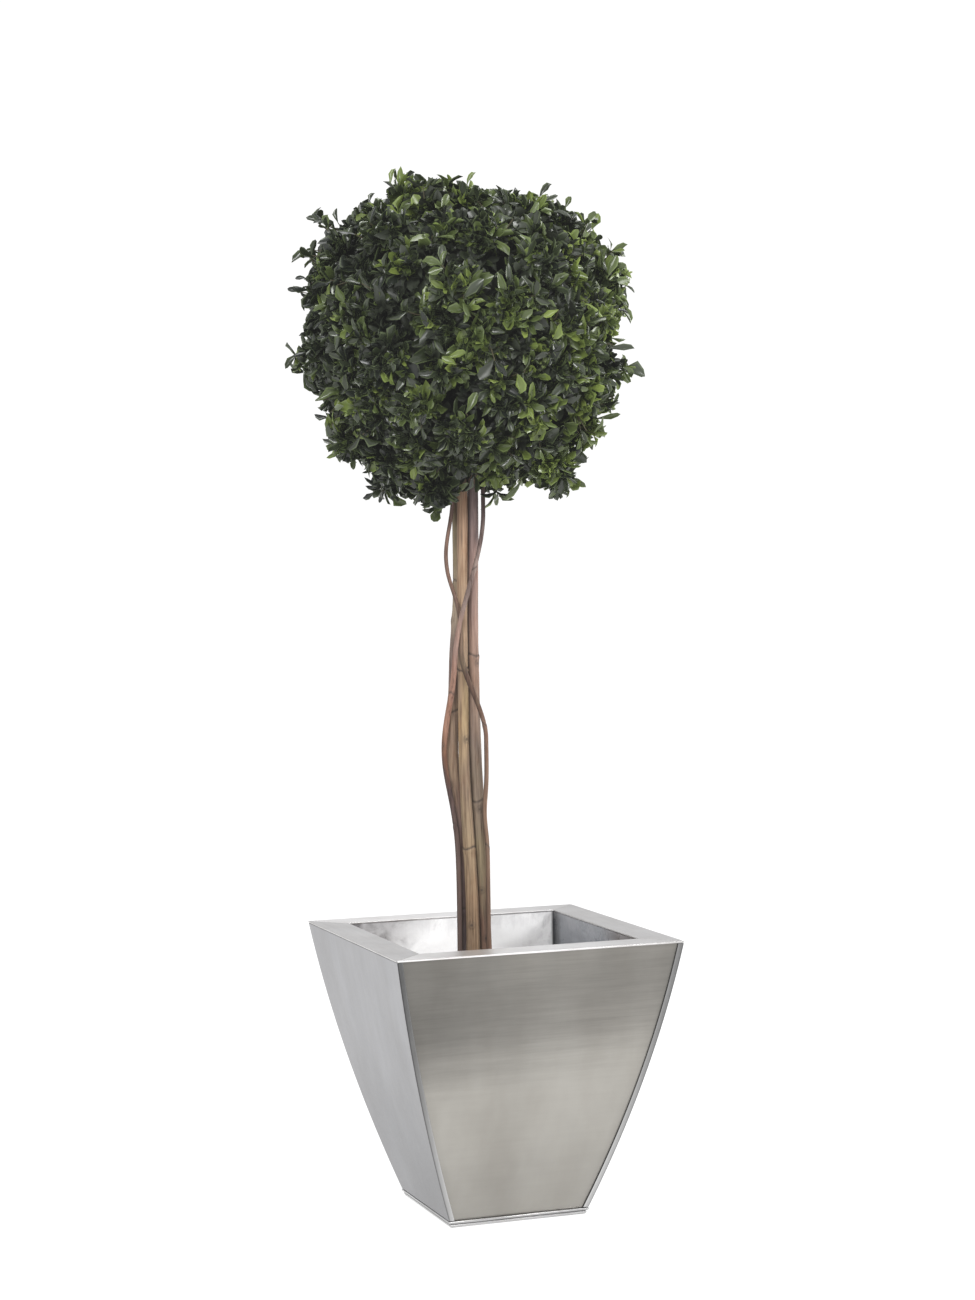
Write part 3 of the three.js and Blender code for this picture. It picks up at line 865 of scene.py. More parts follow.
def add_liner():
    """A box of thin sheet, crumpled on its inside above the soil."""
    top = POT_HEIGHT - SHEET - CLEAR
    along, levels = LINER_STEPS
    outer = side_points(LINER_HALF + LINER_SHEET, along)
    inner = side_points(LINER_HALF, along)
    rings = [[(x, y, z) for x, y in outer] for z in (LINER_FLOOR, top)]
    for level in range(levels + 1):
        z = top - (top - FILL_TOP + LINER_HIDDEN) * level / levels
        rings.append([crumpled(x, y, z) for x, y in inner])
    rings.append([(x, y, LINER_FLOOR + LINER_SHEET) for x, y in inner])
    look = galvanised("galvanised")
    add_piece("pot_liner_sheet", *loft(rings), look, "pot_liner", ["pot_liner"], sharp=35)


def fill_height(x, y):
    """The soil's surface, level round the stems and rolling gently towards the walls."""
    away = smooth(math.hypot(x - PLANT_PLACE.x, y - PLANT_PLACE.y), FILL_LEVEL, FILL_ROLLING)
    return FILL_TOP + FILL_MOUND * away * math.sin(x / 31 + 1) * math.cos(y / 27 - 0.6)


def clod_height(x, y):
    """The soil's surface with its clods."""
    return fill_height(x, y) + CLOD_HEIGHT * (rough((x, y, 3), 11, 1) + 0.6 * rough((x, y, 7), 4, 1))


def add_soil():
    half = LINER_HALF - CLEAR
    bottom = LINER_FLOOR + LINER_SHEET + CLEAR
    cells = SOIL_CELLS
    steps = [-half + 2 * half * i / cells for i in range(cells + 1)]
    points = [(x, y, clod_height(x, y)) for y in steps for x in steps]
    row = cells + 1
    faces = [
        (j * row + i, j * row + i + 1, (j + 1) * row + i + 1, (j + 1) * row + i)
        for j in range(cells) for i in range(cells)
    ]
    edge = list(range(cells)) + [i * row + cells for i in range(cells)]
    edge += [cells * row + cells - i for i in range(cells)] + [(cells - i) * row for i in range(cells)]
    first = len(points)
    points += [(points[i][0], points[i][1], bottom) for i in edge]
    count = len(edge)
    for i in range(count):
        j = (i + 1) % count
        faces.append((edge[j], edge[i], first + i, first + j))
    faces.append(tuple(reversed(range(first, first + count))))
    look = earth("soil_dark", (0.012, 0.008, 0.006), (0.035, 0.023, 0.015), (0.085, 0.06, 0.04))
    add_piece("pot_soil_bed", points, faces, look, "soil", ["pot_soil"], sharp=0)


def add_crumbs():
    """Bark chips and crumbs that lie on the soil, clear of the stems."""
    draw = seeded(CRUMB_SEED)
    reach_out = LINER_HALF - CLEAR - CRUMB_ROOM
    least, more = CRUMB_SIZES
    points, faces = [], []
    while len(points) < CRUMBS * 8:
        x, y = ((draw() * 2 - 1) * reach_out for _ in range(2))
        size = least + more * draw() ** 2
        if math.hypot(x - PLANT_PLACE.x, y - PLANT_PLACE.y) < STEMS_ROOM:
            continue
        spin = Matrix.Rotation(draw() * math.tau, 3, "Z") @ Matrix.Rotation((draw() - 0.5) * 0.9, 3, "X")
        shape = Vector((size * (1 + draw()), size, size * (0.45 + 0.4 * draw())))
        centre = Vector((x, y, clod_height(x, y) + shape.z * 0.3))
        first = len(points)
        for corner in range(8):
            signs = (1 if corner & bit else -1 for bit in (1, 2, 4))
            uneven = Vector([part * extent * (0.65 + 0.35 * draw()) for part, extent in zip(signs, shape)])
            points.append(centre + spin @ uneven)
        faces += [tuple(first + corner for corner in face) for face in BOX_FACES]
    look = earth("bark_crumbs", (0.02, 0.013, 0.009), (0.06, 0.038, 0.024), (0.15, 0.1, 0.065))
    add_piece("pot_soil_crumbs", points, faces, look, "soil", sharp=30)


# ---------------------------------------------------------------- stems

BARK_THICK = 0.07  # how far the bark stands round the solid stem, as a share of its radius
FRONT = -math.pi / 2  # the side of a stem that the pot's front left corner shows
LEFT = math.pi
STEM_STEPS = 400
THICK_STEM_SIDES = 36
THIN_STEM_SIDES = 20
THIN_STEM = 4  # the radius under which a stem needs fewer sides
# Each stem's tones by height are its bark's colours with painted light and shade in them, such as the left
# winding stem's dark top and its paler middle. Its shades darken one side of it: painted shade beside
# another stem, under one and on its shaded side, and a dark slit down the right stem's front.
STEMS = [
    {
        "name": "stem_left",
        "x": lambda z: -12.8 - 9.4 * bump(z, 545, 60) - 4.5 * bump(z, 635, 60),
        "y": lambda z: 9,
        "radius": lambda z: 5.2 + 0.4 * (1 - smooth(z, 300, 560)),
        "swells": [(553, 62, 0.44), (668, 40, 0.3), (701, 9, 0.14)],
        "rings": [352, 590, 745],
        "knots": [(505, FRONT - 0.9), (668, FRONT + 0.2), (701, LEFT + 0.3)],
        "shades": [(0, 0.8, 0.85, 270, 440), (0.2, 0.9, 0.6, 440, 620), (FRONT, 1.2, 0.6, 625, 690)],
        "slot": "bark_brown",
        "tones": [
            (270, (0.122, 0.0893, 0.088)), (420, (0.153, 0.103, 0.0924)), (480, (0.184, 0.113, 0.0792)),
            (560, (0.275, 0.193, 0.128)), (640, (0.194, 0.132, 0.114)), (700, (0.286, 0.226, 0.167)),
            (780, (0.204, 0.16, 0.0968)),
        ],
    },
    {
        "name": "stem_centre",
        "x": lambda z: -8 + 2 * smooth(z, 700, 830) + 8 * (1 - smooth(z, 330, 560)),
        "y": lambda z: -2,
        "radius": lambda z: 6.1 + 1.6 * (1 - smooth(z, 300, 600)),
        "swells": [],
        "rings": [427, 640],
        "knots": [(338, FRONT - 0.2), (560, FRONT + 0.5), (716, FRONT - 0.7)],
        "shades": [(LEFT, 0.7, 0.35, 600, 900), (0, 0.5, 0.75, 270, 900)],
        "slot": "bark_tan",
        "tones": [
            (270, (0.22, 0.15, 0.0915)), (380, (0.245, 0.158, 0.0915)), (450, (0.269, 0.196, 0.12)),
            (510, (0.228, 0.158, 0.106)), (590, (0.359, 0.256, 0.141)), (650, (0.294, 0.203, 0.134)),
            (740, (0.375, 0.256, 0.165)), (830, (0.302, 0.188, 0.12)),
        ],
    },
    {
        "name": "stem_right",
        "x": lambda z: 4.8 + 1.8 * smooth(z, 700, 830) + 10.4 * (1 - smooth(z, 280, 600)),
        "y": lambda z: 1.5 + 3.5 * (1 - smooth(z, 270, 480)),
        "radius": lambda z: 5.9 + 0.5 * (1 - smooth(z, 300, 600)),
        "swells": [(535, 85, 0.15), (657, 8, 0.08)],
        "rings": [483, 657],
        "knots": [(379, FRONT - 0.3), (321, FRONT + 0.1), (476, FRONT + 0.2), (650, FRONT + 0.8)],
        "shades": [
            (LEFT, 0.85, 0.9, 480, 900), (LEFT, 0.6, 0.7, 270, 480), (FRONT + 0.1, 0.16, 0.7, 315, 362),
        ],
        "slot": "bark_mauve",
        "tones": [
            (270, (0.163, 0.105, 0.0704)), (340, (0.196, 0.117, 0.081)), (410, (0.212, 0.165, 0.0986)),
            (540, (0.204, 0.15, 0.116)), (640, (0.245, 0.158, 0.113)), (760, (0.269, 0.177, 0.151)),
            (830, (0.155, 0.113, 0.109)),
        ],
    },
    {
        "name": "winding_stem_left",
        "x": lambda z: -15.8 - 15.6 * bump(z, 545, 72) + 34.5 * smooth(z, 655, 830),
        "y": lambda z: -2.5 - 15.4 * smooth(z, 560, 655) + 14 * smooth(z, 705, 850),
        "radius": lambda z: 3 - 0.6 * smooth(z, 600, 800),
        "swells": [(590, 50, 0.12)],
        "rings": [455, 612, 760],
        "knots": [(552, FRONT - 0.3)],
        "shades": [(LEFT, 0.7, 0.5, 270, 520)],
        "slot": "bark_dark",
        "tones": [
            (270, (0.0979, 0.0639, 0.0528)), (440, (0.106, 0.0677, 0.0563)), (510, (0.0694, 0.0414, 0.0387)),
            (560, (0.18, 0.0902, 0.0528)), (600, (0.277, 0.147, 0.0986)), (680, (0.253, 0.15, 0.116)),
            (750, (0.228, 0.165, 0.141)), (800, (0.0734, 0.047, 0.044)),
        ],
    },
    {
        "name": "winding_stem_right",
        "x": lambda z: 18.6 - 3 * bump(z, 472, 28) - 28.8 * smooth(z, 560, 670)
        - 6 * smooth(z, 700, 760) - 10 * bump(z, 778, 45),
        "y": lambda z: -6.5 - 5.1 * smooth(z, 530, 600) + 9.5 * smooth(z, 705, 800),
        "radius": lambda z: 2.5 - 0.3 * smooth(z, 600, 800),
        "swells": [(645, 40, 0.25)],
        "rings": [430, 575, 700],
        "knots": [(640, FRONT + 0.5)],
        "shades": [(LEFT, 0.9, 0.75, 270, 900)],
        "slot": "bark_dark",
        "tones": [
            (270, (0.163, 0.094, 0.0634)), (480, (0.196, 0.124, 0.081)), (560, (0.163, 0.094, 0.0669)),
            (610, (0.0898, 0.0489, 0.0317)), (655, (0.139, 0.0978, 0.0598)), (700, (0.139, 0.0865, 0.0598)),
            (770, (0.196, 0.117, 0.088)), (830, (0.0979, 0.0602, 0.0528)),
        ],
    },
]


def stem_at(stem, z):
    """A stem's centre and radius at a height."""
    radius = stem["radius"](z) * (1 + ROOT_FLARE * bump(z, FILL_TOP, FLARE_HEIGHT))
    return Vector((stem["x"](z), stem["y"](z), z)), radius


def to_pot(point):
    """From the plant's own frame to the pot's."""
    return Matrix.Rotation(PLANT_TURN, 3, "Z") @ Vector(point) + PLANT_PLACE


def angle_between(a, b):
    return abs((a - b + math.pi) % math.tau - math.pi)


def bark_relief(stem, seed, z, angle):
    """How far the bark stands out, as a share of the radius, and how dark it is: the dark of its rings and
    knots, painted shade in its grooves and hollows, and the stem's painted shades.
    """
    across, away = math.cos(angle), math.sin(angle)
    ridge = noise.noise(Vector((across * 2.2 + seed, away * 2.2, z / 90)))
    groove = noise.noise(Vector((across * 6 + seed, away * 6, z / 34)))
    scale = noise.noise(Vector((across * 9, away * 9 + seed, z / 5)))
    relief = BARK_THICK + 0.06 * ridge + 0.045 * groove + 0.022 * scale
    # painted shade in the grooves
    mark_and_shade = max(0, -groove - 0.15) * 0.9
    for height in stem["rings"]:
        level = z + 1.6 * math.sin(angle * 2 + height)
        relief += 0.09 * bump(level, height, 2.6) - 0.07 * bump(level, height + 3.4, 1.1)
        mark_and_shade += 0.85 * bump(level, height + 3.2, 1.3)
    for height, side in stem["knots"]:
        off = math.hypot((z - height) / 3.4, angle_between(angle, side) / 0.42)
        relief += 0.16 * bump(off, 0, 1) - 0.16 * bump(off, 0, 0.45)
        mark_and_shade += 0.95 * bump(off, 0, 0.62) + 0.35 * bump(off, 1.25, 0.3)
    for height, spread, share in stem["swells"]:
        relief += share * bump(z, height, spread)
    # painted shade on one side of the stem
    for side, spread, strength, low, high in stem["shades"]:
        inside = smooth(z, low - 15, low + 15) * (1 - smooth(z, high - 15, high + 15))
        mark_and_shade += strength * inside * bump(angle_between(angle, side), 0, spread) * (0.85 + 0.4 * ridge)
    return relief, min(max(mark_and_shade, 0), 1)


def add_stem(stem, index):
    sides = THICK_STEM_SIDES if stem["radius"](FILL_TOP) > THIN_STEM else THIN_STEM_SIDES
    bottom = FILL_TOP + CLEAR
    rings, marks_and_shade = [], []
    for i in range(STEM_STEPS + 1):
        z = bottom + (STEM_TOP - bottom) * i / STEM_STEPS
        centre, radius = stem_at(stem, z)
        ring = []
        for side in range(sides):
            angle = side * math.tau / sides
            relief, mark_and_shade = bark_relief(stem, 10 * index, z, angle)
            out = Vector((math.cos(angle), math.sin(angle), 0)) * radius * (1 + relief)
            ring.append(to_pot(centre + out))
            marks_and_shade.append(mark_and_shade)
        rings.append(ring)
    look = bark("bark_" + stem["name"], stem["tones"])
    piece = add_piece(stem["name"] + "_bark", *loft(rings), look, stem["slot"], [stem["name"]], sharp=70)
    mark_points(piece, "dark", marks_and_shade)


# ---------------------------------------------------------------- crown


def lobes(rows):
    """The direction, the change of radius and the spread of each of the lobes."""
    for up, turn, by, spread in rows:
        rise = math.radians(up)
        towards = Matrix.Rotation(math.radians(turn), 3, "Z") @ Vector((math.cos(rise), 0, math.sin(rise)))
        yield towards, by, math.radians(spread)


LOBES = list(lobes(CROWN_LOBES))


def reach(direction):
    """The crown's radius in a direction."""
    return CROWN_REACH + sum(by * bump(direction.angle(towards), 0, spread) for towards, by, spread in LOBES)


def spread_directions(count):
    """Directions spread evenly over the ball, from its top to its underside."""
    for i in range(count):
        z = 1 - (2 * i + 1) / count
        ring = math.sqrt(1 - z * z)
        yield Vector((ring * math.cos(GOLDEN * i), ring * math.sin(GOLDEN * i), z))


def clear_of_stems(root, tip, distance):
    for share in (0, 0.35, 0.7, 1):
        point = root.lerp(tip, share)
        if point.z > STEM_TOP + distance:
            continue
        for stem in STEMS:
            centre, radius = stem_at(stem, point.z)
            if math.hypot(point.x - centre.x, point.y - centre.y) <= radius + distance:
                return False
    return True


def inside_outline(point, proud):
    out = point - MIDDLE
    return out.length < reach(out.normalized()) + proud


def unevenness(towards):
    """How far the clipped outline rises and dips from clump to clump."""
    rolling = 20 * noise.noise(towards * 4) + 20 * noise.noise(towards * 10) - 20
    up = math.atan2(towards.z, towards.x)
    level = OUTLINE_LEVEL
    for at, by, spread in TUFTS + NOTCHES:
        level += by * bump(angle_between(up, math.radians(at)), 0, math.radians(spread))
    return rolling + (level - rolling) * bump(towards.y, 0, OUTLINE_DEPTH)


def clipped(towards):
    """The radius to which the ball is clipped in a direction."""
    return reach(towards) + unevenness(towards)


def pulled_in(point, room):
    """The point, moved in where the clipped outline dips, so that its leaves have room."""
    out = point - MIDDLE
    towards = out.normalized()
    return MIDDLE + towards * min(out.length, clipped(towards) - room)


def leaning(axis, out, angle):
    """A direction that leans away from an axis."""
    return axis * math.cos(angle) + out * math.sin(angle)


def spray_shoots(foot, hub, draw):
    """The directions, lengths and widths of a spray's shoots, by the rule of the solids' leaves."""
    axis = (hub - foot).normalized()
    side = Vector((-axis.y, axis.x, 0.01)).normalized()
    step = math.tau / len(SPRAY_LEANS)
    start = draw() * step
    shoots = []
    for i, usual in enumerate(SPRAY_LEANS):
        turn = start + (i + 0.5 + (draw() - 0.5) * SPRAY_STRAY) * step
        out = Matrix.Rotation(turn, 3, axis) @ side
        length = SPRAY_LENGTH * (1 + (draw() - 0.5) * SPRAY_VARIES)
        width = SPRAY_WIDTH * (1 + (draw() - 0.5) * SPRAY_VARIES)
        draw()  # the solid leaf's roll, which a shoot has no use for
        lean = usual + (draw() - 0.5) * LEAN_VARIES
        heading = leaning(axis, out, lean)
        while not inside_outline(hub + heading * length, LEAF_PROUD) and lean < LEAN_MOST:
            lean += LEAN_STEP
            heading = leaning(axis, out, lean)
        tip = hub + heading * length
        if inside_outline(tip, LEAF_PROUD) and clear_of_stems(hub, tip, SPRAY_WIDTH * SPRAY_ROOM):
            shoots.append((heading, length, width))
    return shoots


def sprays():
    """The solids' own rule: each spray's foot, hub and shoots, in the plant's frame."""
    draw = seeded(CROWN_SEED)
    for even in spread_directions(TWIGS):
        sway = Vector([draw() - 0.5 for _ in range(3)]) * TWIG_SWAY
        towards = (even + sway).normalized()
        depth = SPRAY_DEPTH + (draw() - 0.5) * SPRAY_UNEVEN
        foot = MIDDLE + even * (reach(even) - CORE_DEPTH - TWIG_SUNK)
        hub = MIDDLE + towards * (reach(towards) - depth)
        shoots = spray_shoots(foot, hub, draw)
        if clear_of_stems(foot, hub, 2 * TWIG_FOOT):
            yield foot, hub, shoots


class Tubes:
    """Tapering limbs, gathered into one mesh."""

    def __init__(self):
        self.points = []
        self.faces = []

    def add(self, path, radii, sides):
        rings = []
        side = (path[1] - path[0]).normalized().orthogonal()
        for i, (centre, radius) in enumerate(zip(path, radii)):
            ahead = (path[min(i + 1, len(path) - 1)] - path[max(i - 1, 0)]).normalized()
            side = (side - ahead * side.dot(ahead)).normalized()
            other = ahead.cross(side)
            angles = [k * math.tau / sides for k in range(sides)]
            outs = [side * math.cos(angle) + other * math.sin(angle) for angle in angles]
            rings.append([to_pot(centre + out * radius) for out in outs])
        points, faces = loft(rings)
        first = len(self.points)
        self.points += points
        self.faces += [tuple(first + corner for corner in face) for face in faces]


class Leaves:
    """Leaves, gathered by tone. Each is a sheet that is widest beyond its middle, with curled margins."""

    def __init__(self):
        self.rows = {tone: [] for tone in TONES}

    def add(self, tone, root, heading, facing, *numbers):
        """A leaf. Its numbers are its length, width, cup, bend, twist and the phase of its ripples."""
        across = heading.cross(facing).normalized()
        up = across.cross(heading).normalized()
        self.rows[tone].append((*root, *across, *heading, *up, *numbers))

    def points(self, tone, columns):
        """The corners of all the leaves of a tone, leaf by leaf."""
        rows = np.array(self.rows[tone])
        root, across, heading, up = (rows[:, None, i:i + 3] for i in (0, 3, 6, 9))
        length, width, cup, bend, twist, phase = (rows[:, i, None, None] for i in range(12, 18))
        shape = [(side, half, along) for along, half in LEAF_OUTLINE for side in columns] + [(0, 0, 1)]
        side, half, along = (np.array(column)[None, :, None] for column in zip(*shape))
        flat = side * half * width / 2
        fold = cup * np.abs(side) ** LEAF_HOLLOW * half
        rise = (fold + LEAF_WAVE * np.sin(LEAF_RIPPLES * along + phase) * side ** 2) * width
        turn = twist * (along - LEAF_STRAIGHT)
        sideways = flat * np.cos(turn) - rise * np.sin(turn)
        upwards = flat * np.sin(turn) + rise * np.cos(turn) - bend * length * along ** 2
        corners = root + across * sideways + heading * along * length + up * upwards
        spin = np.array(Matrix.Rotation(PLANT_TURN, 3, "Z"))
        return corners.reshape(-1, 3) @ spin.T + np.array(PLANT_PLACE)

    def mesh(self, tone):
        """Points, faces and the number of each face's material: 0, or 1 on a margin, with its painted
        highlight.
        """
        columns = SHADED_COLUMNS if tone == "shade" else LEAF_COLUMNS
        wide = len(columns)
        margins = (0, wide - 2) if wide > 3 else ()
        tip = len(LEAF_OUTLINE) * wide
        pattern = []
        for row in range(len(LEAF_OUTLINE)):
            for column in range(wide - 1):
                a = row * wide + column
                beyond = (a + 1 + wide, a + wide) if a + wide < tip else (tip,)
                pattern.append(((a, a + 1, *beyond), int(column in margins)))
        faces, numbers = [], []
        for leaf in range(len(self.rows[tone])):
            first = leaf * (tip + 1)
            faces += [tuple(first + corner for corner in face) for face, number in pattern]
            numbers += [number for face, number in pattern]
        return self.points(tone, columns), faces, numbers


# Each tone's colour, roughness and gloss. Slate leaves are dark ones with a waxy shine. Shade is the tone
# of leaves in the ball's depth, lightened by painted light so that it is paler than deep and dark.
TONES = {
    "shade": ((0.030, 0.036, 0.024), 0.38, 0.45),
    "deep": ((0.013, 0.017, 0.012), 0.27, 0.45),
    "dark": ((0.022, 0.030, 0.013), 0.25, 0.5),
    "slate": ((0.033, 0.043, 0.023), 0.27, 0.62),
    "mid": ((0.066, 0.090, 0.026), 0.26, 0.5),
    "fresh": ((0.120, 0.160, 0.036), 0.28, 0.5),
    "yellow": ((0.170, 0.220, 0.048), 0.32, 0.5),
}
TONE_LIMITS = {"deep": 0.20, "dark": 0.46, "slate": 0.61, "mid": 0.90}


def tone_of(towards, depth, draw):
    """A shoot's tone, with painted light and shade: paler at the top and the right, darker the deeper it
    lies, and in the ball's depth the one for shaded leaves.
    """
    if depth > SHADE_DEPTH:
        return "shade"
    clump = 0.7 * noise.noise(towards * 5) + 0.4 * noise.noise(towards * 11)
    # painted light towards the right and the top, painted shade with depth
    pick = 0.27 + 0.62 * draw() + clump + 0.3 * towards.x + 0.06 * towards.z - 0.008 * max(depth - 9, 0)
    return next((tone for tone, limit in TONE_LIMITS.items() if pick < limit), "fresh")


def leaf_tone(tone, share, draw):
    """Leaves of one shoot differ: the young inner ones are often paler, and some are darker."""
    paler = (draw() < 0.35 * (1 - share)) + (draw() < 0.16) + 2 * (draw() < 0.05)
    darker = draw() < 0.3
    order = list(TONES)
    place = order.index(tone) + paler - darker
    return order[min(max(place, 0), len(order) - 1)]


def bowed(start, end, bow, draw, steps):
    """A path from start to end with a bow to one side."""
    ahead = end - start
    side = Matrix.Rotation(draw() * math.tau, 3, ahead) @ ahead.orthogonal().normalized()
    shares = [i / steps for i in range(steps + 1)]
    return [start + ahead * share + side * bow * math.sin(math.pi * share) for share in shares]


def held_in(root, axis, out, lean, length, stray):
    """The way that a leaf points, leaning out further where it would leave the outline, or none."""
    for more in range(LEAN_TRIES):
        heading = leaning(axis, out, lean + more * LEAN_STEP)
        held = root + heading * length * LEAF_HELD
        if inside_outline(held, stray + unevenness((held - MIDDLE).normalized())):
            return heading
    return None


class Growth:
    """The ball as it grows: its limbs, its leaves, and the source of numbers that they all draw from."""

    def __init__(self):
        self.draw = seeded(FINE_SEED)
        self.sprays = list(sprays())
        self.feet = [foot for foot, hub, shoots in self.sprays]
        self.twigs = Tubes()
        self.boughs = Tubes()
        self.leaves = Leaves()

    def jitter(self, towards, by):
        """A direction turned aside at random."""
        step = Vector([self.draw() - 0.5 for _ in range(3)])
        return (towards + step * by).normalized()

    def add_twig(self, start, end, radii):
        path = bowed(start, end, TWIG_BOW * (end - start).length, self.draw, len(radii) - 1)
        self.twigs.add(path, radii, 4)

    def add_rosette(self, tip, axis, tone, size, proud, count=0):
        """Leaves in a spiral round a shoot's tip: small upright ones inside, larger leaning ones outside."""
        draw = self.draw
        count = count or ROSETTE_LEAST + int(draw() * ROSETTE_MORE)
        side = axis.orthogonal().normalized()
        turn = draw() * math.tau
        for i in range(count):
            share = (i + 0.5) / count
            turn += GOLDEN + (draw() - 0.5) * 0.6
            out = Matrix.Rotation(turn, 3, axis) @ side
            length = size * LEAF_LENGTH * between((LEAF_INNER, 1), share ** 0.6) * (0.86 + 0.28 * draw())
            width = length * (LEAF_NARROW + LEAF_WIDER * draw() + (LEAF_ROUND if draw() > 0.85 else 0))
            lean = between(LEAF_LEANS, share) + (draw() - 0.5) * 0.6
            roll = (draw() - 0.5) * LEAF_ROLL
            cup = LEAF_CUP * (0.4 + 1.2 * draw())
            bend = (draw() - 0.3) * LEAF_BEND
            twist = (draw() - 0.5) * LEAF_TWIST
            stray = proud + between(LEAF_STRAY, draw() ** 2)
            root = tip - axis * share * ROSETTE_DEPTH
            heading = held_in(root, axis, out, lean, length, stray)
            if heading is None or not clear_of_stems(root, root + heading * length, width * SPRAY_ROOM):
                continue
            facing = Matrix.Rotation(roll, 3, heading) @ axis
            numbers = (length, width, cup, bend, twist, draw() * math.tau)
            self.leaves.add(leaf_tone(tone, share, draw), root, heading, facing, *numbers)

    def add_shoot(self, start, end, axis, size=1):
        end = pulled_in(end, SHOOT_ROOM)
        out = end - MIDDLE
        towards = out.normalized()
        depth = clipped(towards) - out.length
        if clear_of_stems(start, end, SHOOT_CLEAR):
            self.add_twig(start, end, SHOOT_RADII)
            self.add_rosette(end, axis, tone_of(towards, depth, self.draw), size, 0)

    def add_spray(self, foot, hub, shoots):
        """A twig with a shoot at its end, and with a few on each of its branches."""
        axis = (hub - foot).normalized()
        hub = pulled_in(hub, HUB_ROOM)
        self.twigs.add(bowed(foot, hub, 1.2, self.draw, 4), SPRAY_RADII, 6)
        outward = (hub - MIDDLE).normalized()
        self.add_shoot(foot.lerp(hub, 0.7), hub + axis * 6, self.jitter(outward, 0.4))
        for heading, length, width in shoots:
            across = heading.cross(axis).normalized()
            for aside in BRANCH_SHOOTS:
                share = SHOOT_SHARE * (1 - 0.25 * abs(aside)) * (0.85 + 0.3 * self.draw())
                end = hub + heading * length * share + across * aside * width * SHOOT_ASIDE
                end += axis * (self.draw() - 0.6) * 9
                grows = self.jitter(heading * 0.55 + outward * 0.5 + across * aside * 0.35, 1.3)
                self.add_shoot(hub, end, grows, 0.74 + 0.6 * self.draw() ** 2)

    def add_inner(self, count, depths):
        """Shaded shoots under the outer ones, each grown from the nearest twig's foot."""
        for even in spread_directions(count):
            towards = self.jitter(even, 0.14)
            end = MIDDLE + towards * (reach(towards) - between(depths, self.draw()))
            grows = self.jitter(towards, 1.1)
            self.add_shoot(nearest(self.feet, end), end, grows, 0.95 + 0.2 * self.draw())

    def add_strays(self):
        """Shoots that have grown out beyond the clipped outline, with a few leaves each."""
        for even in spread_directions(STRAY_SHOOTS):
            towards = self.jitter(even, 0.25)
            end = MIDDLE + towards * (clipped(towards) - between(STRAY_DEPTHS, self.draw()))
            foot = nearest(self.feet, end)
            hang = Vector((0, 0, STRAY_HANG if towards.z < 0.2 else STRAY_RISE))
            grows = self.jitter(towards + hang, 0.7)
            if clear_of_stems(foot, end, STRAY_CLEAR):
                tone = STRAY_TONES[int(self.draw() * len(STRAY_TONES))]
                self.add_twig(foot, end, STRAY_RADII)
                size = 0.8 + 0.4 * self.draw()
                self.add_rosette(end, grows, tone, size, STRAY_PROUD, 3 + int(self.draw() * 3))

    def add_tufts(self):
        """Shoots that carry the outline's tufts out."""
        for at, _, spread in TUFTS:
            for turn in TUFT_TURNS:
                rise = math.radians(at + (self.draw() - 0.5) * spread)
                towards = Vector((math.cos(rise), turn, math.sin(rise))).normalized()
                end = MIDDLE + towards * (clipped(towards) + TUFT_PROUD - TUFT_UNEVEN * self.draw())
                grows = self.jitter(towards, 0.5)
                self.add_twig(nearest(self.feet, end), end, STRAY_RADII)
                tone = tone_of(towards, 0, self.draw)
                self.add_rosette(end, grows, tone, 0.95, TUFT_LEAVES_PROUD, 5 + int(self.draw() * 3))

    def add_single_leaves(self):
        """Leaves on the front of the ball that face the photograph's side, and at its edge."""
        for right, above, way, length, width, tone in SINGLE_LEAVES:
            deep = math.sqrt(max((CROWN_REACH + OUTLINE_LEVEL) ** 2 - right ** 2 - above ** 2, 0))
            towards = Vector((right, -deep, above)).normalized()
            rise = math.radians(way)
            heading = Vector((math.cos(rise), -0.15, math.sin(rise))).normalized()
            out = max(clipped(towards) + SINGLE_PROUD, math.hypot(right, deep, above))
            root = MIDDLE + towards * out - heading * length / 2
            self.add_twig(nearest(self.feet, root), root, STRAY_RADII)
            facing = Vector((right / CROWN_REACH, -1, 0.25 + above / CROWN_REACH))
            self.leaves.add(tone, root, heading, facing, length, width, 0.5, 0.25, 0.5, right)

    def add_leaders(self):
        """The three stout stems run on inside the ball. Returns their paths."""
        leaders = []
        for stem in STEMS[:3]:
            start, radius = stem_at(stem, STEM_TOP)
            top = LEADER_TOP + LEADER_UNEVEN * self.draw()
            end = Vector((MIDDLE.x + (start.x - MIDDLE.x) * LEADER_PARTS, start.y * LEADER_PARTS, top))
            path = bowed(start, end, 3, self.draw, LEADER_STEPS)
            radii = [radius * (1 - LEADER_TAPER * i) for i in range(LEADER_STEPS + 1)]
            self.boughs.add(path, radii, 10)
            leaders.append(path)
        return leaders

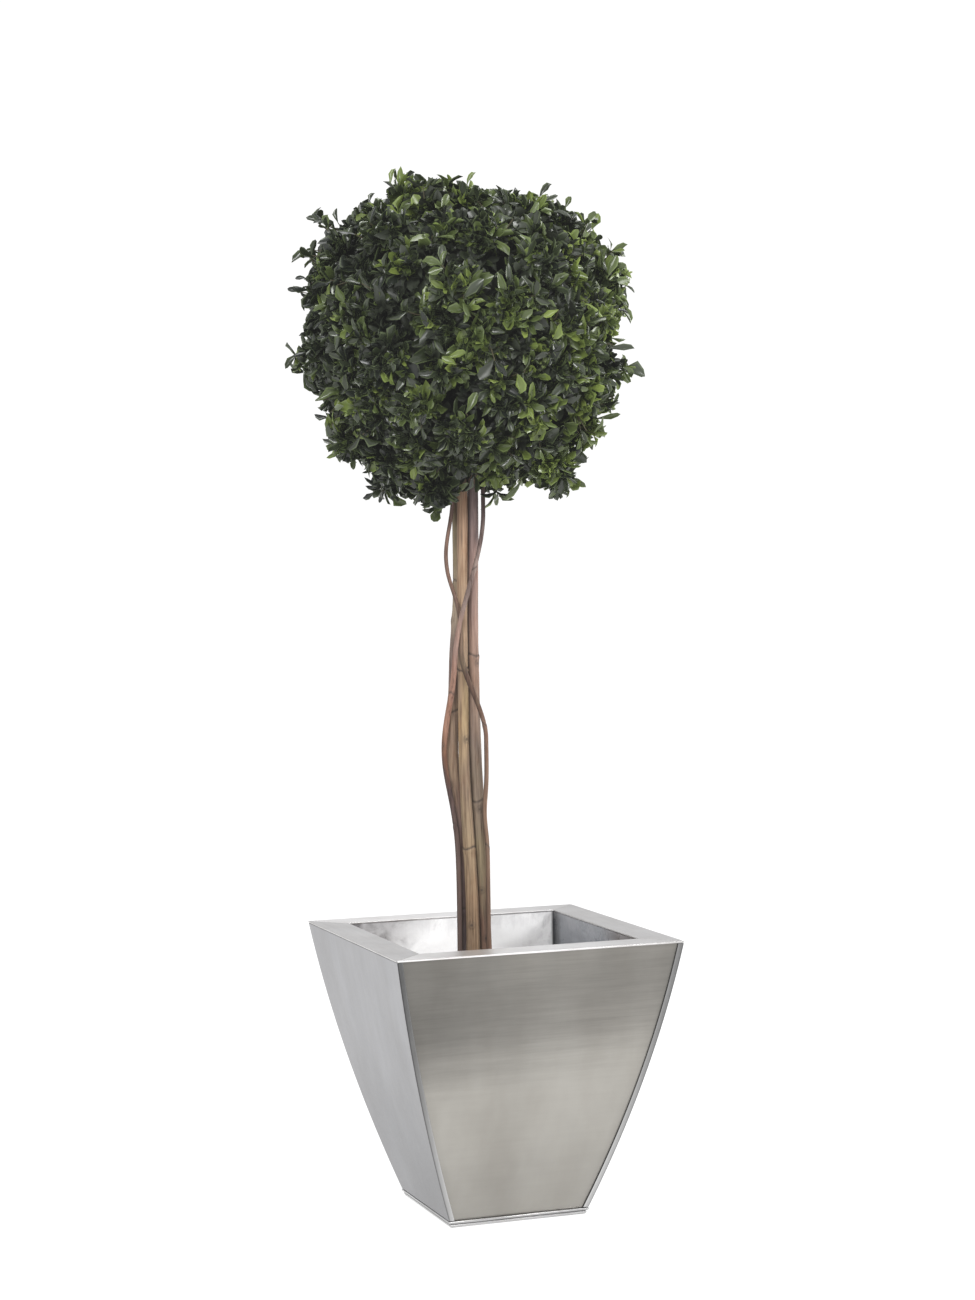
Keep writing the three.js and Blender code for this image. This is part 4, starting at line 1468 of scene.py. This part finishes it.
    def add_boughs(self):
        """The leaders fork into boughs, and these branch to the twigs' feet."""
        leaders = self.add_leaders()
        ends = []
        for towards in spread_directions(BOUGHS):
            leader = min(leaders, key=lambda path: (path[-1] - (MIDDLE + towards * 60)).length)
            fork = leader[2 + min(int(6 * (towards.z + 1) / 2), 6)]
            end = MIDDLE + towards * reach(towards) * BOUGH_SHARE
            if clear_of_stems(end, end, 8):
                self.boughs.add(bowed(fork, end, 5, self.draw, 6), [4.2 - 0.2 * k for k in range(7)], 8)
                ends.append(end)
        for foot in self.feet:
            self.boughs.add(bowed(nearest(ends, foot), foot, 3, self.draw, 4), BRANCH_RADII, 6)


def add_leaves(leaves):
    """A piece for each tone, whose leaves' margins are painted paler: a painted highlight on their curled
    edges.
    """
    for tone, (colour, roughness, gloss) in TONES.items():
        points, faces, numbers = leaves.mesh(tone)
        look = leaf_green("leaf_" + tone, colour, roughness, gloss)
        piece = add_piece("crown_leaves_" + tone, points, faces, look, "foliage", ["crown_foliage"], sharp=0)
        # the margins' painted highlight
        margin = tuple(part * MARGIN_HIGHLIGHT + more for part, more in zip(colour, MARGIN_HIGHLIGHT_GAINS))
        piece.data.materials.append(leaf_green("leaf_margin_highlight_" + tone, margin, roughness, gloss))
        piece.data.polygons.foreach_set("material_index", numbers)


def add_crown():
    growth = Growth()
    for foot, hub, shoots in growth.sprays:
        growth.add_spray(foot, hub, shoots)
    growth.add_inner(INNER_SHOOTS, INNER_DEPTHS)
    growth.add_inner(DEEP_SHOOTS, DEEP_DEPTHS)
    growth.add_strays()
    growth.add_tufts()
    growth.add_single_leaves()
    growth.add_boughs()
    for name, limbs, low, high in (
        ("twigs", growth.twigs, (0.045, 0.036, 0.02), (0.055, 0.048, 0.024)),
        ("boughs", growth.boughs, (0.16, 0.11, 0.075), (0.18, 0.125, 0.09)),
    ):
        look = bark("bark_" + name, [(FILL_TOP, low), (STEM_TOP, high)])
        add_piece("crown_" + name, limbs.points, limbs.faces, look, "bark_brown", ["crown_foliage"])
    add_leaves(growth.leaves)


# ---------------------------------------------------------------- the whole

add_studio()
add_panels()
add_rim()
add_base()
add_liner()
add_soil()
add_crumbs()
for stem_index, stem_row in enumerate(STEMS):
    add_stem(stem_row, stem_index)
add_crown()

boxes = {"cad": cad_box, "visual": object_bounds()}
{name: [list(corner) for corner in box] for name, box in boxes.items()}
